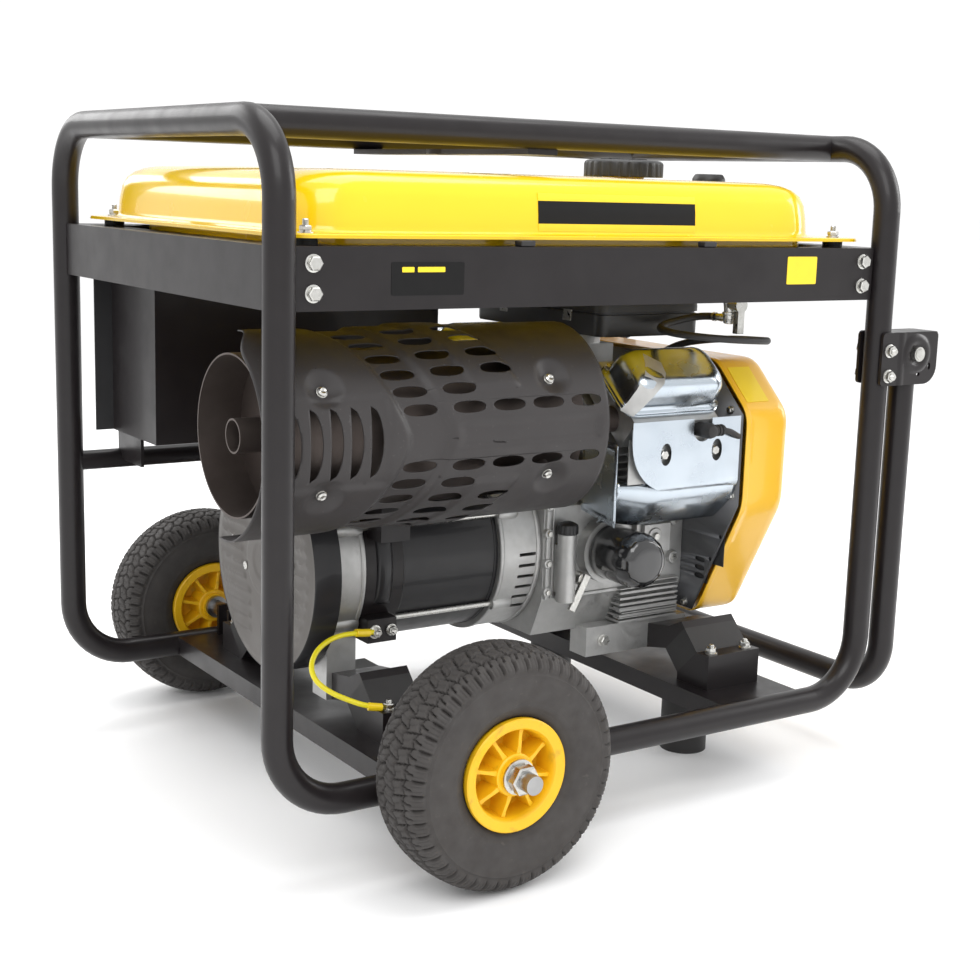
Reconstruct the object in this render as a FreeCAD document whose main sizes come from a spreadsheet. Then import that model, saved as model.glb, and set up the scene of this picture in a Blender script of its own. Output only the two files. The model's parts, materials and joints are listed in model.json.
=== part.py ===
"""Portable generator: tube frame on two wheels, fuel tank, V-twin engine, alternator,
muffler with heat shield, hanging control box and a folding pull handle.

Units are millimetres. X runs along the frame from its wheel end to its handle end, Y across
it and Z up. Every helper takes X from the centreline of the wheel-end uprights, Y from the
middle of the frame and Z from the floor, and moves the piece so that the document's origin
lies on the floor under the middle of the whole machine."""
import FreeCAD, Part
import math
import os
import Sketcher
from FreeCAD import Placement, Rotation, Vector

doc = FreeCAD.newDocument("portable_generator")
sheet = doc.addObject("Spreadsheet::Sheet", "Sizes")
nodes = []

AHEAD, ACROSS, UP = Vector(1, 0, 0), Vector(0, 1, 0), Vector(0, 0, 1)
NEAR, FAR = -1, 1


class Size:
    """A length that carries its value and the formula that ties it to the sheet."""

    def __init__(self, value, text):
        self.value = value
        self.text = text

    def __add__(self, other):
        other = as_size(other)
        return Size(self.value + other.value, f"({self.text} + {other.text})")

    def __radd__(self, other):
        return as_size(other) + self

    def __sub__(self, other):
        other = as_size(other)
        return Size(self.value - other.value, f"({self.text} - {other.text})")

    def __rsub__(self, other):
        return as_size(other) - self

    def __mul__(self, other):
        other = as_size(other)
        return Size(self.value * other.value, f"({self.text} * {other.text})")

    def __rmul__(self, other):
        return self * other

    def __truediv__(self, other):
        other = as_size(other)
        return Size(self.value / other.value, f"({self.text} / {other.text})")

    def __neg__(self):
        return Size(-self.value, f"(0 - {self.text})")


def as_size(value):
    """Turn a plain number into a Size, and leave a Size as it is."""
    if isinstance(value, Size):
        return value
    return Size(float(value), f"({float(value):.6f})")


def size(alias, value):
    """Write one driving dimension to the sheet and return it."""
    row = size.rows = getattr(size, "rows", 0) + 1
    sheet.set(f"A{row}", alias.replace("_", " "))
    sheet.set(f"B{row}", str(value))
    sheet.setAlias(f"B{row}", alias)
    return Size(float(value), f"Sizes.{alias}")


# ---------------------------------------------------------------- driving dimensions
frame_len = size("frame_len", 812)
frame_wid = size("frame_wid", 596)
rail_z = size("rail_z", 95)
top_z = size("top_z", 774)
tube_dia = size("tube_dia", 32)
tube_wall = size("tube_wall", 2)
bend_rad = size("bend_rad", 75)
top_rail_inset = size("top_rail_inset", 100)
beam_tall = size("beam_tall", 62)
beam_below_top = size("beam_below_top", 118)
beam_deep = size("beam_deep", 30)
sheet_steel = size("sheet_steel", 3)
channel_wid = size("channel_wid", 125)
channel_tall = size("channel_tall", 24)
channel_top = size("channel_top", 107)
wheel_channel_x = size("wheel_channel_x", 202)
engine_channel_x = size("engine_channel_x", 662)
panel_rail_dia = size("panel_rail_dia", 25)
panel_rail_z = size("panel_rail_z", 356)
foot_dia = size("foot_dia", 60)
foot_y = size("foot_y", 150)
tyre_dia = size("tyre_dia", 260)
tyre_wid = size("tyre_wid", 85)
rim_dia = size("rim_dia", 121)
axle_dia = size("axle_dia", 20)
axle_x = size("axle_x", 214)
wheel_gap = size("wheel_gap", 16)
hub_wid = size("hub_wid", 80)
hub_dia = size("hub_dia", 46)
crank_z = size("crank_z", 275)
stator_dia = size("stator_dia", 210)
stator_len = size("stator_len", 186)
stator_bore = size("stator_bore", 132)
bell_len = size("bell_len", 60)
rear_bell_len = size("rear_bell_len", 42)
end_cover_dia = size("end_cover_dia", 262)
end_cover_len = size("end_cover_len", 38)
shaft_dia = size("shaft_dia", 35)
block_len = size("block_len", 222)
block_x = size("block_x", 450)
cylinder_long = size("cylinder_long", 130)
cylinder_thick = size("cylinder_thick", 100)
cylinder_root = size("cylinder_root", 118)
cylinder_top = size("cylinder_top", 228)
head_top = size("head_top", 270)
cover_top = size("cover_top", 318)
bore_dia = size("bore_dia", 80)
blower_len = size("blower_len", 74)
blower_half = size("blower_half", 222)
blower_wall = size("blower_wall", 2.5)
flywheel_dia = size("flywheel_dia", 206)
filter_dia = size("filter_dia", 70)
filter_len = size("filter_len", 75)
muffler_y = size("muffler_y", -168)
muffler_z = size("muffler_z", 456)
muffler_dia = size("muffler_dia", 172)
muffler_len = size("muffler_len", 340)
shield_dia = size("shield_dia", 218)
shield_len = size("shield_len", 423)
shield_x = size("shield_x", -5)
shield_wall = size("shield_wall", 1.5)
header_dia = size("header_dia", 32)
tail_dia = size("tail_dia", 37)
tank_side_gap = size("tank_side_gap", 12)
tank_wall = size("tank_wall", 2)
tank_deep = size("tank_deep", 52)
tank_rise = size("tank_rise", 64)
neck_dia = size("neck_dia", 52)
cap_dia = size("cap_dia", 100)
box_len = size("box_len", 390)
box_deep = size("box_deep", 140)
box_tall = size("box_tall", 190)
handle_reach = size("handle_reach", 48)
handle_pivot_z = size("handle_pivot_z", 528)
handle_bar_z = size("handle_bar_z", 92)
bracket_reach = size("bracket_reach", 86)
bolt_dia = size("bolt_dia", 8)
pivot_dia = size("pivot_dia", 10)
turn_gap = size("turn_gap", 0.05)
free_gap = size("free_gap", 0.5)

tube_rad = tube_dia / 2
half_wid = frame_wid / 2
x_mid = (frame_len + bracket_reach - tube_rad) / 2
beam_top = top_z - beam_below_top
beam_low = beam_top - beam_tall


# ---------------------------------------------------------------- helpers
def bind(item, path, value):
    """Set one property from a number, or tie it to the sheet when it is a Size."""
    item.setExpression(path, as_size(value).text)


def place(item, x, y, z, turn=Rotation()):
    """Put an object at frame coordinates with a fixed rotation."""
    item.Placement = Placement(Vector(0, 0, 0), turn)
    bind(item, ".Placement.Base.x", as_size(x) - x_mid)
    bind(item, ".Placement.Base.y", y)
    bind(item, ".Placement.Base.z", z)
    return item


def box(x0, x1, y0, y1, z0, z1):
    """A block between two corners."""
    item = doc.addObject("Part::Box", "Block")
    bind(item, "Length", as_size(x1) - x0)
    bind(item, "Width", as_size(y1) - y0)
    bind(item, "Height", as_size(z1) - z0)
    return place(item, x0, y0, z0)


TURN = {"x": Rotation(ACROSS, 90), "y": Rotation(AHEAD, -90), "z": Rotation()}


def rod(axis, start, end, a, b, radius):
    """A cylinder along x, y or z; a and b are its other two coordinates in X, Y, Z order."""
    item = doc.addObject("Part::Cylinder", "Rod")
    bind(item, "Radius", radius)
    bind(item, "Height", as_size(end) - start)
    spot = {"x": (start, a, b), "y": (a, start, b), "z": (a, b, start)}[axis]
    return place(item, *spot, TURN[axis])


def taper(axis, start, end, a, b, radius_start, radius_end):
    """A cone frustum along x, y or z."""
    item = doc.addObject("Part::Cone", "Taper")
    bind(item, "Radius1", radius_start)
    bind(item, "Radius2", radius_end)
    bind(item, "Height", as_size(end) - start)
    spot = {"x": (start, a, b), "y": (a, start, b), "z": (a, b, start)}[axis]
    return place(item, *spot, TURN[axis])


def bend(x, y, z, first, last, sweep_radius, radius):
    """A quarter of a torus round (x, y, z), from direction first to direction last."""
    item = doc.addObject("Part::Torus", "Bend")
    bind(item, "Radius1", sweep_radius)
    bind(item, "Radius2", radius)
    item.Angle3 = 90
    turn = Rotation(first, last, first.cross(last), "XYZ")
    return place(item, x, y, z, turn)


def fuse(*items):
    """Join overlapping solids into one."""
    if len(items) == 1:
        return items[0]
    item = doc.addObject("Part::MultiFuse", "Join")
    item.Shapes = list(items)
    return item


def cut(base, *tools):
    """Take tools away from a base solid."""
    item = doc.addObject("Part::Cut", "Cut")
    item.Base = base
    item.Tool = fuse(*tools)
    return item


def common(base, tool):
    """Keep what two solids share."""
    item = doc.addObject("Part::Common", "Shared")
    item.Base = base
    item.Tool = tool
    return item


def group(*items):
    """Keep several separate solids in one node."""
    item = doc.addObject("Part::Compound", "Group")
    item.Links = list(items)
    return item


def tilt(item, degrees, y, z):
    """Turn a finished solid about the line along X through (y, z)."""
    holder = doc.addObject("Part::Compound", "Tilted")
    holder.Links = [item]
    turn = Rotation(AHEAD, degrees)
    holder.Placement = Placement(Vector(0, 0, 0), turn)
    cosine = math.cos(math.radians(degrees))
    sine = math.sin(math.radians(degrees))
    y, z = as_size(y), as_size(z)
    bind(holder, ".Placement.Base.y", y - (y * cosine - z * sine))
    bind(holder, ".Placement.Base.z", z - (y * sine + z * cosine))
    return holder


SKETCH_TURN = {"xy": Rotation(), "xz": Rotation(AHEAD, 90), "yz": Rotation(Vector(1, 1, 1), 120)}


def prism(plane, points, low, high, corner=None):
    """Pad a straight-sided outline given in the xy, xz or yz plane between two depths."""
    body = doc.addObject("PartDesign::Body", "Outline")
    sketch = body.newObject("Sketcher::SketchObject", "Sketch")
    flat = [f for f in body.Origin.OriginFeatures if f.Role == "XY_Plane"][0]
    sketch.AttachmentSupport = [(flat, "")]
    sketch.MapMode = "FlatFace"
    points = [(as_size(u), as_size(v)) for u, v in points]
    count = len(points)
    for index, (u, v) in enumerate(points):
        next_u, next_v = points[(index + 1) % count]
        sketch.addGeometry(Part.LineSegment(Vector(u.value, v.value, 0), Vector(next_u.value, next_v.value, 0)))
    for index in range(count):
        sketch.addConstraint(Sketcher.Constraint("Coincident", index, 2, (index + 1) % count, 1))
    for index, (u, v) in enumerate(points):
        for kind, value in (("DistanceX", u), ("DistanceY", v)):
            number = sketch.addConstraint(Sketcher.Constraint(kind, -1, 1, index, 1, value.value))
            sketch.setExpression(f"Constraints[{number}]", value.text)
    pad = body.newObject("PartDesign::Pad", "Pad")
    pad.Profile = sketch
    bind(pad, "Length", as_size(high) - low)
    body.Tip = pad
    if corner is not None:
        round_corners(body, pad, corner)
    low, high = as_size(low), as_size(high)
    spot = {"xy": (0, 0, low), "xz": (0, high, 0), "yz": (low, 0, 0)}[plane]
    return place(body, *spot, SKETCH_TURN[plane])


def round_corners(body, pad, radius):
    """Fillet the edges of a pad that stand square to its sketch."""
    doc.recompute()
    names = []
    for number, edge in enumerate(pad.Shape.Edges, 1):
        first, last = edge.Vertexes[0].Point, edge.Vertexes[-1].Point
        if (first - last).cross(UP).Length < 1e-6:
            names.append(f"Edge{number}")
    rounded = body.newObject("PartDesign::Fillet", "Corners")
    rounded.Base = (pad, names)
    bind(rounded, "Radius", radius)
    body.Tip = rounded


def round_box(plane, a0, a1, b0, b1, low, high, corner):
    """A block whose four edges across the plane are rounded."""
    return prism(plane, [(a0, b0), (a1, b0), (a1, b1), (a0, b1)], low, high, corner)


def ring(axis, start, end, a, b, outer, inner):
    """A hollow cylinder."""
    return cut(rod(axis, start, end, a, b, outer), rod(axis, start, end, a, b, inner))


def hollow(runs, radius, wall):
    """A pipe whose runs are made twice, once at its outside and once at its bore."""
    return cut(fuse(*runs(radius)), fuse(*runs(radius - wall)))


def bolt(axis, start, end, a, b, radius, head_at_end=True):
    """A hexagon-headed bolt simplified to a shank with a round flanged head."""
    start, end, radius = as_size(start), as_size(end), as_size(radius)
    shank = rod(axis, start, end, a, b, radius)
    if head_at_end:
        return fuse(shank, rod(axis, end, end + radius * 1.3, a, b, radius * 1.7),
                    rod(axis, end, end + radius * 0.4, a, b, radius * 2.2))
    return fuse(shank, rod(axis, start - radius * 1.3, start, a, b, radius * 1.7),
                rod(axis, start - radius * 0.4, start, a, b, radius * 2.2))


def node(name, *items):
    """Name a finished sub-part; several items stay separate solids."""
    item = items[0] if len(items) == 1 else group(*items)
    item.Label = name
    nodes.append(item)
    return item


def cord(name, radius, route):
    """A round cord along straight runs joined by tangent arcs."""
    points = [Vector(x - x_mid.value, y, z) for x, y, z in route]
    edges = []
    start = points[0]
    radii = []
    for before, here, after in zip(points, points[1:], points[2:]):
        into, out = here - before, after - here
        turn = into.getAngle(out)
        reach = 0.45 * min(into.Length, out.Length)
        arc_start = here - into.normalize() * reach
        arc_end = here + out.normalize() * reach
        middle = (arc_start + arc_end) * 0.5
        radii.append(reach / math.tan(turn / 2))
        apex_gap = radii[-1] / math.cos(turn / 2) - radii[-1]
        apex = here + (middle - here).normalize() * apex_gap
        edges.append(Part.LineSegment(start, arc_start).toShape())
        edges.append(Part.Arc(arc_start, apex, arc_end).toShape())
        start = arc_end
    edges.append(Part.LineSegment(start, points[-1]).toShape())
    path = Part.Wire(edges)
    first_way = (points[1] - points[0]).normalize()
    section = Part.Wire([Part.Circle(points[0], first_way, radius).toShape()])
    item = doc.addObject("Part::Feature", "Cord")
    item.Shape = path.makePipeShell([section], True, False)
    expected = math.pi * radius ** 2 * path.Length
    share = abs(item.Shape.Volume - expected) / expected
    print(f"{name}: length {path.Length:.0f}, radii {[round(r, 1) for r in radii]}, off {share:.4f}")
    return node(name, item)


# ---------------------------------------------------------------- tube frame
OUTWARD = {NEAR: Vector(0, -1, 0), FAR: Vector(0, 1, 0)}
DOWN, BACK = Vector(0, 0, -1), Vector(-1, 0, 0)


def side_tube(side):
    """One hoop: two uprights and the bottom rail, with its top corners turned inwards."""
    y = half_wid * side
    turn_y = (half_wid - bend_rad) * side

    def runs(radius):
        return [
            rod("z", rail_z + bend_rad, top_z - bend_rad, 0, y, radius),
            rod("z", rail_z + bend_rad, top_z - bend_rad, frame_len, y, radius),
            rod("x", bend_rad, frame_len - bend_rad, y, rail_z, radius),
            bend(bend_rad, y, rail_z + bend_rad, BACK, DOWN, bend_rad, radius),
            bend(frame_len - bend_rad, y, rail_z + bend_rad, DOWN, AHEAD, bend_rad, radius),
            bend(0, turn_y, top_z - bend_rad, OUTWARD[side], UP, bend_rad, radius),
            bend(frame_len, turn_y, top_z - bend_rad, OUTWARD[side], UP, bend_rad, radius),
        ]
    return hollow(runs, tube_rad, tube_wall)


def top_tubes():
    """The hoops' two top bars and the two long rails coped onto them."""
    reach = half_wid - bend_rad
    bars = [ring("y", -reach, reach, x, top_z, tube_rad, tube_rad - tube_wall) for x in (0, frame_len)]
    rails = []
    for side in (NEAR, FAR):
        y = (half_wid - top_rail_inset) * side
        blank = ring("x", 0, frame_len, y, top_z, tube_rad, tube_rad - tube_wall)
        copes = [rod("y", -half_wid, half_wid, x, top_z, tube_rad) for x in (0, frame_len)]
        rails.append(cut(blank, *copes))
    return bars + rails


GUSSET_LEN = 75
BEAM_TAB_GAP = 2


def side_beam(side):
    """A folded channel bolted outside the tabs of the end beams."""
    outer = half_wid * side
    inner = (half_wid - sheet_steel) * side
    lip = (half_wid - beam_deep) * side
    low_y, high_y = (outer, inner) if side == NEAR else (inner, outer)
    lip_low, lip_high = (outer, lip) if side == NEAR else (lip, outer)
    start, end = tube_rad + BEAM_TAB_GAP, frame_len - tube_rad - BEAM_TAB_GAP
    lip_start, lip_end = GUSSET_LEN + BEAM_TAB_GAP, frame_len - GUSSET_LEN - BEAM_TAB_GAP
    return fuse(box(start, end, low_y, high_y, beam_low, beam_top),
                box(lip_start, lip_end, lip_low, lip_high, beam_low, beam_low + sheet_steel),
                box(lip_start, lip_end, lip_low, lip_high, beam_top - sheet_steel, beam_top))


def end_beam(x, way):
    """A channel welded between two uprights, with gussets and tabs for the side beams."""
    web_out = 5
    lip_deep = 34
    gusset_wid = 60

    def along(near_end, far_end):
        first, last = x + near_end * way, x + far_end * way
        return (first, last) if way > 0 else (last, first)

    inner = half_wid - sheet_steel
    web = box(*along(-web_out, sheet_steel - web_out), -half_wid, half_wid, beam_low, beam_top)
    low = box(*along(-web_out, lip_deep), -inner, inner, beam_low, beam_low + sheet_steel)
    high = box(*along(-web_out, lip_deep), -inner, inner, beam_top - sheet_steel, beam_top)
    extras = []
    for side in (NEAR, FAR):
        edge, gusset_edge = inner * side, (inner - gusset_wid) * side
        tab_edge = (inner - sheet_steel) * side
        pair = (edge, gusset_edge) if side == NEAR else (gusset_edge, edge)
        tab = (edge, tab_edge) if side == NEAR else (tab_edge, edge)
        extras.append(box(*along(-web_out, GUSSET_LEN), *pair, beam_top - sheet_steel, beam_top))
        extras.append(box(*along(tube_rad, GUSSET_LEN), *tab, beam_low, beam_top))
    posts = [rod("z", rail_z, top_z, x, half_wid * side, tube_rad) for side in (NEAR, FAR)]
    return cut(fuse(web, low, high, *extras), *posts)


def cross_channel(middle):
    """A channel, open side down, coped and welded between the two bottom rails."""
    start, end = middle - channel_wid / 2, middle + channel_wid / 2
    low = channel_top - channel_tall
    body = cut(box(start, end, -half_wid, half_wid, low, channel_top),
               box(start + sheet_steel, end - sheet_steel, -half_wid, half_wid,
                   low, channel_top - sheet_steel))
    rails = [rod("x", 0, frame_len, half_wid * side, rail_z, tube_rad) for side in (NEAR, FAR)]
    return cut(body, *rails)


axle_z = tyre_dia / 2
AXLE_PLATE_INSETS, AXLE_PLATE_THICK, AXLE_PLATE_WID, AXLE_PLATE_RISE = (26, 58), 6, 44, 18


def wheel_channel():
    """The channel at the wheels, with the pairs of plates that hold the stub axles."""
    parts = [cross_channel(wheel_channel_x)]
    for side in (NEAR, FAR):
        for inset in AXLE_PLATE_INSETS:
            inner = half_wid - inset
            low_y = inner if side == FAR else -inner - AXLE_PLATE_THICK
            parts.append(box(axle_x - AXLE_PLATE_WID / 2, axle_x + AXLE_PLATE_WID / 2, low_y,
                             low_y + AXLE_PLATE_THICK, channel_top - sheet_steel, axle_z + AXLE_PLATE_RISE))
    return cut(fuse(*parts), rod("y", -half_wid, half_wid, axle_x, axle_z, axle_dia / 2))


def panel_rail():
    """The thin cross tube that carries the control box, coped between the far uprights."""
    blank = ring("x", 0, frame_len, half_wid, panel_rail_z, panel_rail_dia / 2,
                 panel_rail_dia / 2 - tube_wall)
    posts = [rod("z", rail_z, top_z, x, half_wid, tube_rad) for x in (0, frame_len)]
    return cut(blank, *posts)


def isolator(side, start, end, foot_y, foot_z, part):
    """A sloping rubber block between a pedestal on the channel and a bracket on the foot."""
    outlines = {
        "pedestal": [(-120, None), (-120, 18), (-97, 18), (-62, -17), (-62, None)],
        "rubber": [(-97, 18), (-62, -17), (-37, 8), (-72, 43)],
        "bracket": [(-72, 43), (-37, 8), (0, 0), (0, 32), (-42, 39), (-65, 50)],
    }
    points = []
    for out, rise in outlines[part]:
        z = channel_top if rise is None else foot_z + rise
        points.append(((foot_y - out) * side, z))
    return prism("yz", points, start, end)


engine_foot_y = size("engine_foot_y", 118)
engine_foot_z = size("engine_foot_z", 133)
bell_foot_y = size("bell_foot_y", 92)
bell_foot_z = size("bell_foot_z", 125)
mount_len = size("mount_len", 84)
bell_mount_len = size("bell_mount_len", 62)
ENGINE_MOUNT = (engine_channel_x - mount_len / 2, engine_channel_x + mount_len / 2, engine_foot_y, engine_foot_z)
BELL_MOUNT = (wheel_channel_x - bell_mount_len / 2, wheel_channel_x + bell_mount_len / 2,
              bell_foot_y, bell_foot_z)
mounts = [(side, *spot) for spot in (ENGINE_MOUNT, BELL_MOUNT) for side in (NEAR, FAR)]


def lifting_bracket():
    """A plate under the two long rails with a lifting eye at its middle."""
    start, end, thick, eye_rad = 350, 390, 6, 14
    reach = half_wid - top_rail_inset
    low = top_z - tube_rad - thick
    middle = (start + end) / 2
    plate = fuse(box(start, end, -reach, reach, low, low + thick),
                 rod("z", low, low + thick, middle, 0, eye_rad + 12))
    return cut(plate, rod("z", low, low + thick, middle, 0, eye_rad))


# ---------------------------------------------------------------- wheels
wheel_y = half_wid + tube_rad + wheel_gap + tyre_wid / 2
rim_rad = rim_dia / 2
bead_rad = rim_rad - 8.5
SHOULDER_IN, SHOULDER_DROP = 12.5, 12
BEAD_HALF = 32
RIM_LIP = 4


def tyre(side):
    """A pneumatic tyre with sloping shoulders and recesses for the rim's lips."""
    y = wheel_y * side
    half = tyre_wid / 2
    tread_half = half - SHOULDER_IN
    rad = tyre_dia / 2
    solid = fuse(rod("y", y - half, y + half, axle_x, axle_z, rad - SHOULDER_DROP),
                 taper("y", y - half, y - tread_half, axle_x, axle_z, rad - SHOULDER_DROP, rad),
                 rod("y", y - tread_half, y + tread_half, axle_x, axle_z, rad),
                 taper("y", y + tread_half, y + half, axle_x, axle_z, rad, rad - SHOULDER_DROP))
    return cut(solid, rod("y", y - half, y + half, axle_x, axle_z, bead_rad),
               rod("y", y - half, y - BEAD_HALF, axle_x, axle_z, rim_rad + 1.5),
               rod("y", y + BEAD_HALF, y + half, axle_x, axle_z, rim_rad + 1.5))


def rim(side):
    """A moulded rim: barrel with two lips, hub and eight spokes."""
    y = wheel_y * side
    lip_half = BEAD_HALF + RIM_LIP
    barrel_wall, web_half, spoke_half, spoke_thick, spokes = 5, 4, 26, 9, 8
    barrel = ring("y", y - lip_half, y + lip_half, axle_x, axle_z, bead_rad, bead_rad - barrel_wall)
    lips = [ring("y", y + a, y + b, axle_x, axle_z, rim_rad, bead_rad - barrel_wall)
            for a, b in ((-lip_half, -BEAD_HALF), (BEAD_HALF, lip_half))]
    hub = rod("y", y - hub_wid / 2, y + hub_wid / 2, axle_x, axle_z, hub_dia / 2)
    web = rod("y", y - web_half, y + web_half, axle_x, axle_z, bead_rad - barrel_wall)
    arms = []
    for number in range(spokes // 2):
        arm = box(axle_x - bead_rad + barrel_wall / 2, axle_x + bead_rad - barrel_wall / 2,
                  y - spoke_half, y + spoke_half, axle_z - spoke_thick / 2, axle_z + spoke_thick / 2)
        arms.append(spin_about_axle(arm, number * 360 / spokes))
    whole = fuse(barrel, *lips, hub, web, *arms)
    return cut(whole, rod("y", y - hub_wid, y + hub_wid, axle_x, axle_z, axle_dia / 2 + turn_gap))


def spin_about_axle(item, degrees):
    """Turn a solid about the axle's own line."""
    if degrees == 0:
        return item
    holder = doc.addObject("Part::Compound", "Turned")
    holder.Links = [item]
    holder.Placement = Placement(Vector(0, 0, 0), Rotation(ACROSS, degrees))
    cosine, sine = math.cos(math.radians(degrees)), math.sin(math.radians(degrees))
    x, z = axle_x - x_mid, axle_z
    bind(holder, ".Placement.Base.x", x - (x * cosine + z * sine))
    bind(holder, ".Placement.Base.z", z - (z * cosine - x * sine))
    return holder


hub_end = wheel_y + hub_wid / 2
COLLAR_LEN, THREAD_PAST_HUB, WASHER, NUT = 6, 30, 3, 12


def stub_axle(side):
    """A bar from its two plates through the wheel, with a collar inside the hub."""
    reach = hub_end + THREAD_PAST_HUB
    root = half_wid - AXLE_PLATE_INSETS[1] - 4
    inner = wheel_y - hub_wid / 2 - free_gap
    bar = (root, reach) if side == FAR else (-reach, -root)
    pair = (inner - COLLAR_LEN, inner) if side == FAR else (-inner, COLLAR_LEN - inner)
    return fuse(rod("y", *bar, axle_x, axle_z, axle_dia / 2),
                rod("y", *pair, axle_x, axle_z, axle_dia / 2 + 5))


def wheel_nuts():
    """A washer and a nut outside each hub."""
    pieces = []
    for side in (NEAR, FAR):
        washer = hub_end + free_gap
        nut = washer + WASHER
        for start, thick, radius in ((washer, WASHER, axle_dia / 2 + 9), (nut, NUT, axle_dia / 2 + 6)):
            pair = (start, start + thick) if side == FAR else (-start - thick, -start)
            pieces.append(ring("y", *pair, axle_x, axle_z, radius, axle_dia / 2))
    return pieces


# ---------------------------------------------------------------- alternator
bell_x = block_x - bell_len
stator_x = bell_x - stator_len
rear_bell_x = stator_x - rear_bell_len
end_cover_x = rear_bell_x - end_cover_len
stator_rad = stator_dia / 2
shaft_rad = shaft_dia / 2
BELL_WALL, BELL_LIP = 5, 6
BEARING_OUT, BEARING_LEN = 16, 16


def end_cover():
    """The round louvred cover over the brushes, open to the rear bell."""
    wall = 3
    rad = end_cover_dia / 2
    return cut(rod("x", end_cover_x, rear_bell_x, 0, crank_z, rad),
               rod("x", end_cover_x + wall, rear_bell_x, 0, crank_z, rad - wall))


def rear_bell():
    """The cast bell at the wheel end, with the rear bearing seat and two feet."""
    rad = stator_rad + BELL_LIP
    shell = cut(rod("x", rear_bell_x, stator_x, 0, crank_z, rad),
                rod("x", rear_bell_x + BELL_WALL, stator_x, 0, crank_z, rad - BELL_WALL - BELL_LIP / 2))
    seat = rod("x", rear_bell_x, rear_bell_x + BEARING_LEN + 6, 0, crank_z, shaft_rad + BEARING_OUT + 6)
    feet = []
    for side in (NEAR, FAR):
        inner = bell_foot_y - 34
        pair = (inner, bell_foot_y) if side == FAR else (-bell_foot_y, -inner)
        web = box(rear_bell_x + 2, stator_x - 2, *pair, bell_foot_z, crank_z - stator_rad * 0.62)
        pad = box(rear_bell_x + 2, BELL_MOUNT[1], *pair, bell_foot_z, bell_foot_z + 32)
        feet += [web, pad]
    hollow_out = rod("x", rear_bell_x + BELL_WALL, stator_x, 0, crank_z, rad - BELL_WALL - BELL_LIP / 2)
    whole = fuse(cut(fuse(shell, *feet), hollow_out), seat)
    bearing_bore = rod("x", rear_bell_x + 6, stator_x, 0, crank_z, shaft_rad + BEARING_OUT)
    return cut(whole, bearing_bore, rod("x", rear_bell_x, stator_x, 0, crank_z, shaft_rad + 2))


def front_bell():
    """The cast bell that ties the stator to the crankcase, slotted for the fan's air."""
    rad = stator_rad + BELL_LIP
    shell = cut(rod("x", bell_x, block_x, 0, crank_z, rad),
                rod("x", bell_x, block_x - BELL_WALL, 0, crank_z, rad - BELL_WALL - BELL_LIP / 2))
    passage = rod("x", bell_x, block_x, 0, crank_z, shaft_rad + 4)
    slots = [box(bell_x + 28, block_x - 8, -rad, rad, crank_z + z, crank_z + z + 4)
             for z in (-72, -58, -44, -30, -16, -2)]
    return cut(shell, passage, *slots)


def alternator_rotor():
    """The wound rotor pressed on the shaft, with its fan beside the front bell."""
    gap = 1
    rad = stator_bore / 2 - gap
    core = ring("x", stator_x + 8, bell_x - 8, 0, crank_z, rad, shaft_rad)
    fan = ring("x", bell_x + 6, bell_x + 24, 0, crank_z, rad + 20, shaft_rad)
    return [core, fan]


def bearings():
    """The ball bearing in the rear bell and the one in the crankcase's outer wall."""
    starts = (rear_bell_x + 6, block_x + block_len - BEARING_LEN - 4)
    return [ring("x", start, start + BEARING_LEN, 0, crank_z, shaft_rad + BEARING_OUT, shaft_rad + turn_gap)
            for start in starts]


STRAP_GAP, STRAP_LEN, STRAP_EAR_BACK = 1, 50, 12


def muffler_strap():
    """A curved strap on the stator that carries a post under the muffler."""
    thick = 4
    start = stator_x + STRAP_GAP
    end = start + STRAP_LEN
    around = ring("x", start, end, 0, crank_z, stator_rad + thick, stator_rad)
    near_part = common(around, box(start, end, -stator_rad - 20, -60, crank_z - 100, crank_z + 96))
    ear = box(start, end - STRAP_EAR_BACK, -stator_rad - 10, -stator_rad + 32, crank_z - 82, crank_z - 54)
    post = box(start + 6, end - 6, -132, -96, crank_z + 40, muffler_z - 60)
    blank = fuse(near_part, ear, post)
    return cut(blank, rod("x", start, end, 0, crank_z, stator_rad),
               rod("x", start, end, muffler_y, muffler_z, muffler_dia / 2))


def voltage_regulator():
    """The brush holder and regulator block inside the end cover."""
    return box(end_cover_x + 8, rear_bell_x - 4, -88, -34, crank_z - 30, crank_z + 38)


# ---------------------------------------------------------------- engine
LEAN = 41
SIN, COS = math.sin(math.radians(LEAN)), math.cos(math.radians(LEAN))
case_half = cylinder_root * SIN + cylinder_thick / 2 * COS
deck_in = cylinder_root * SIN - cylinder_thick / 2 * COS
case_low = engine_foot_z + 32
case_end = block_x + block_len
cylinder_x = {NEAR: block_x + 55, FAR: block_x + 31}


def shoulder(out):
    """Height at which the leaning cylinder deck meets a given half width."""
    return crank_z + (cylinder_root - out * SIN) / COS


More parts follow.
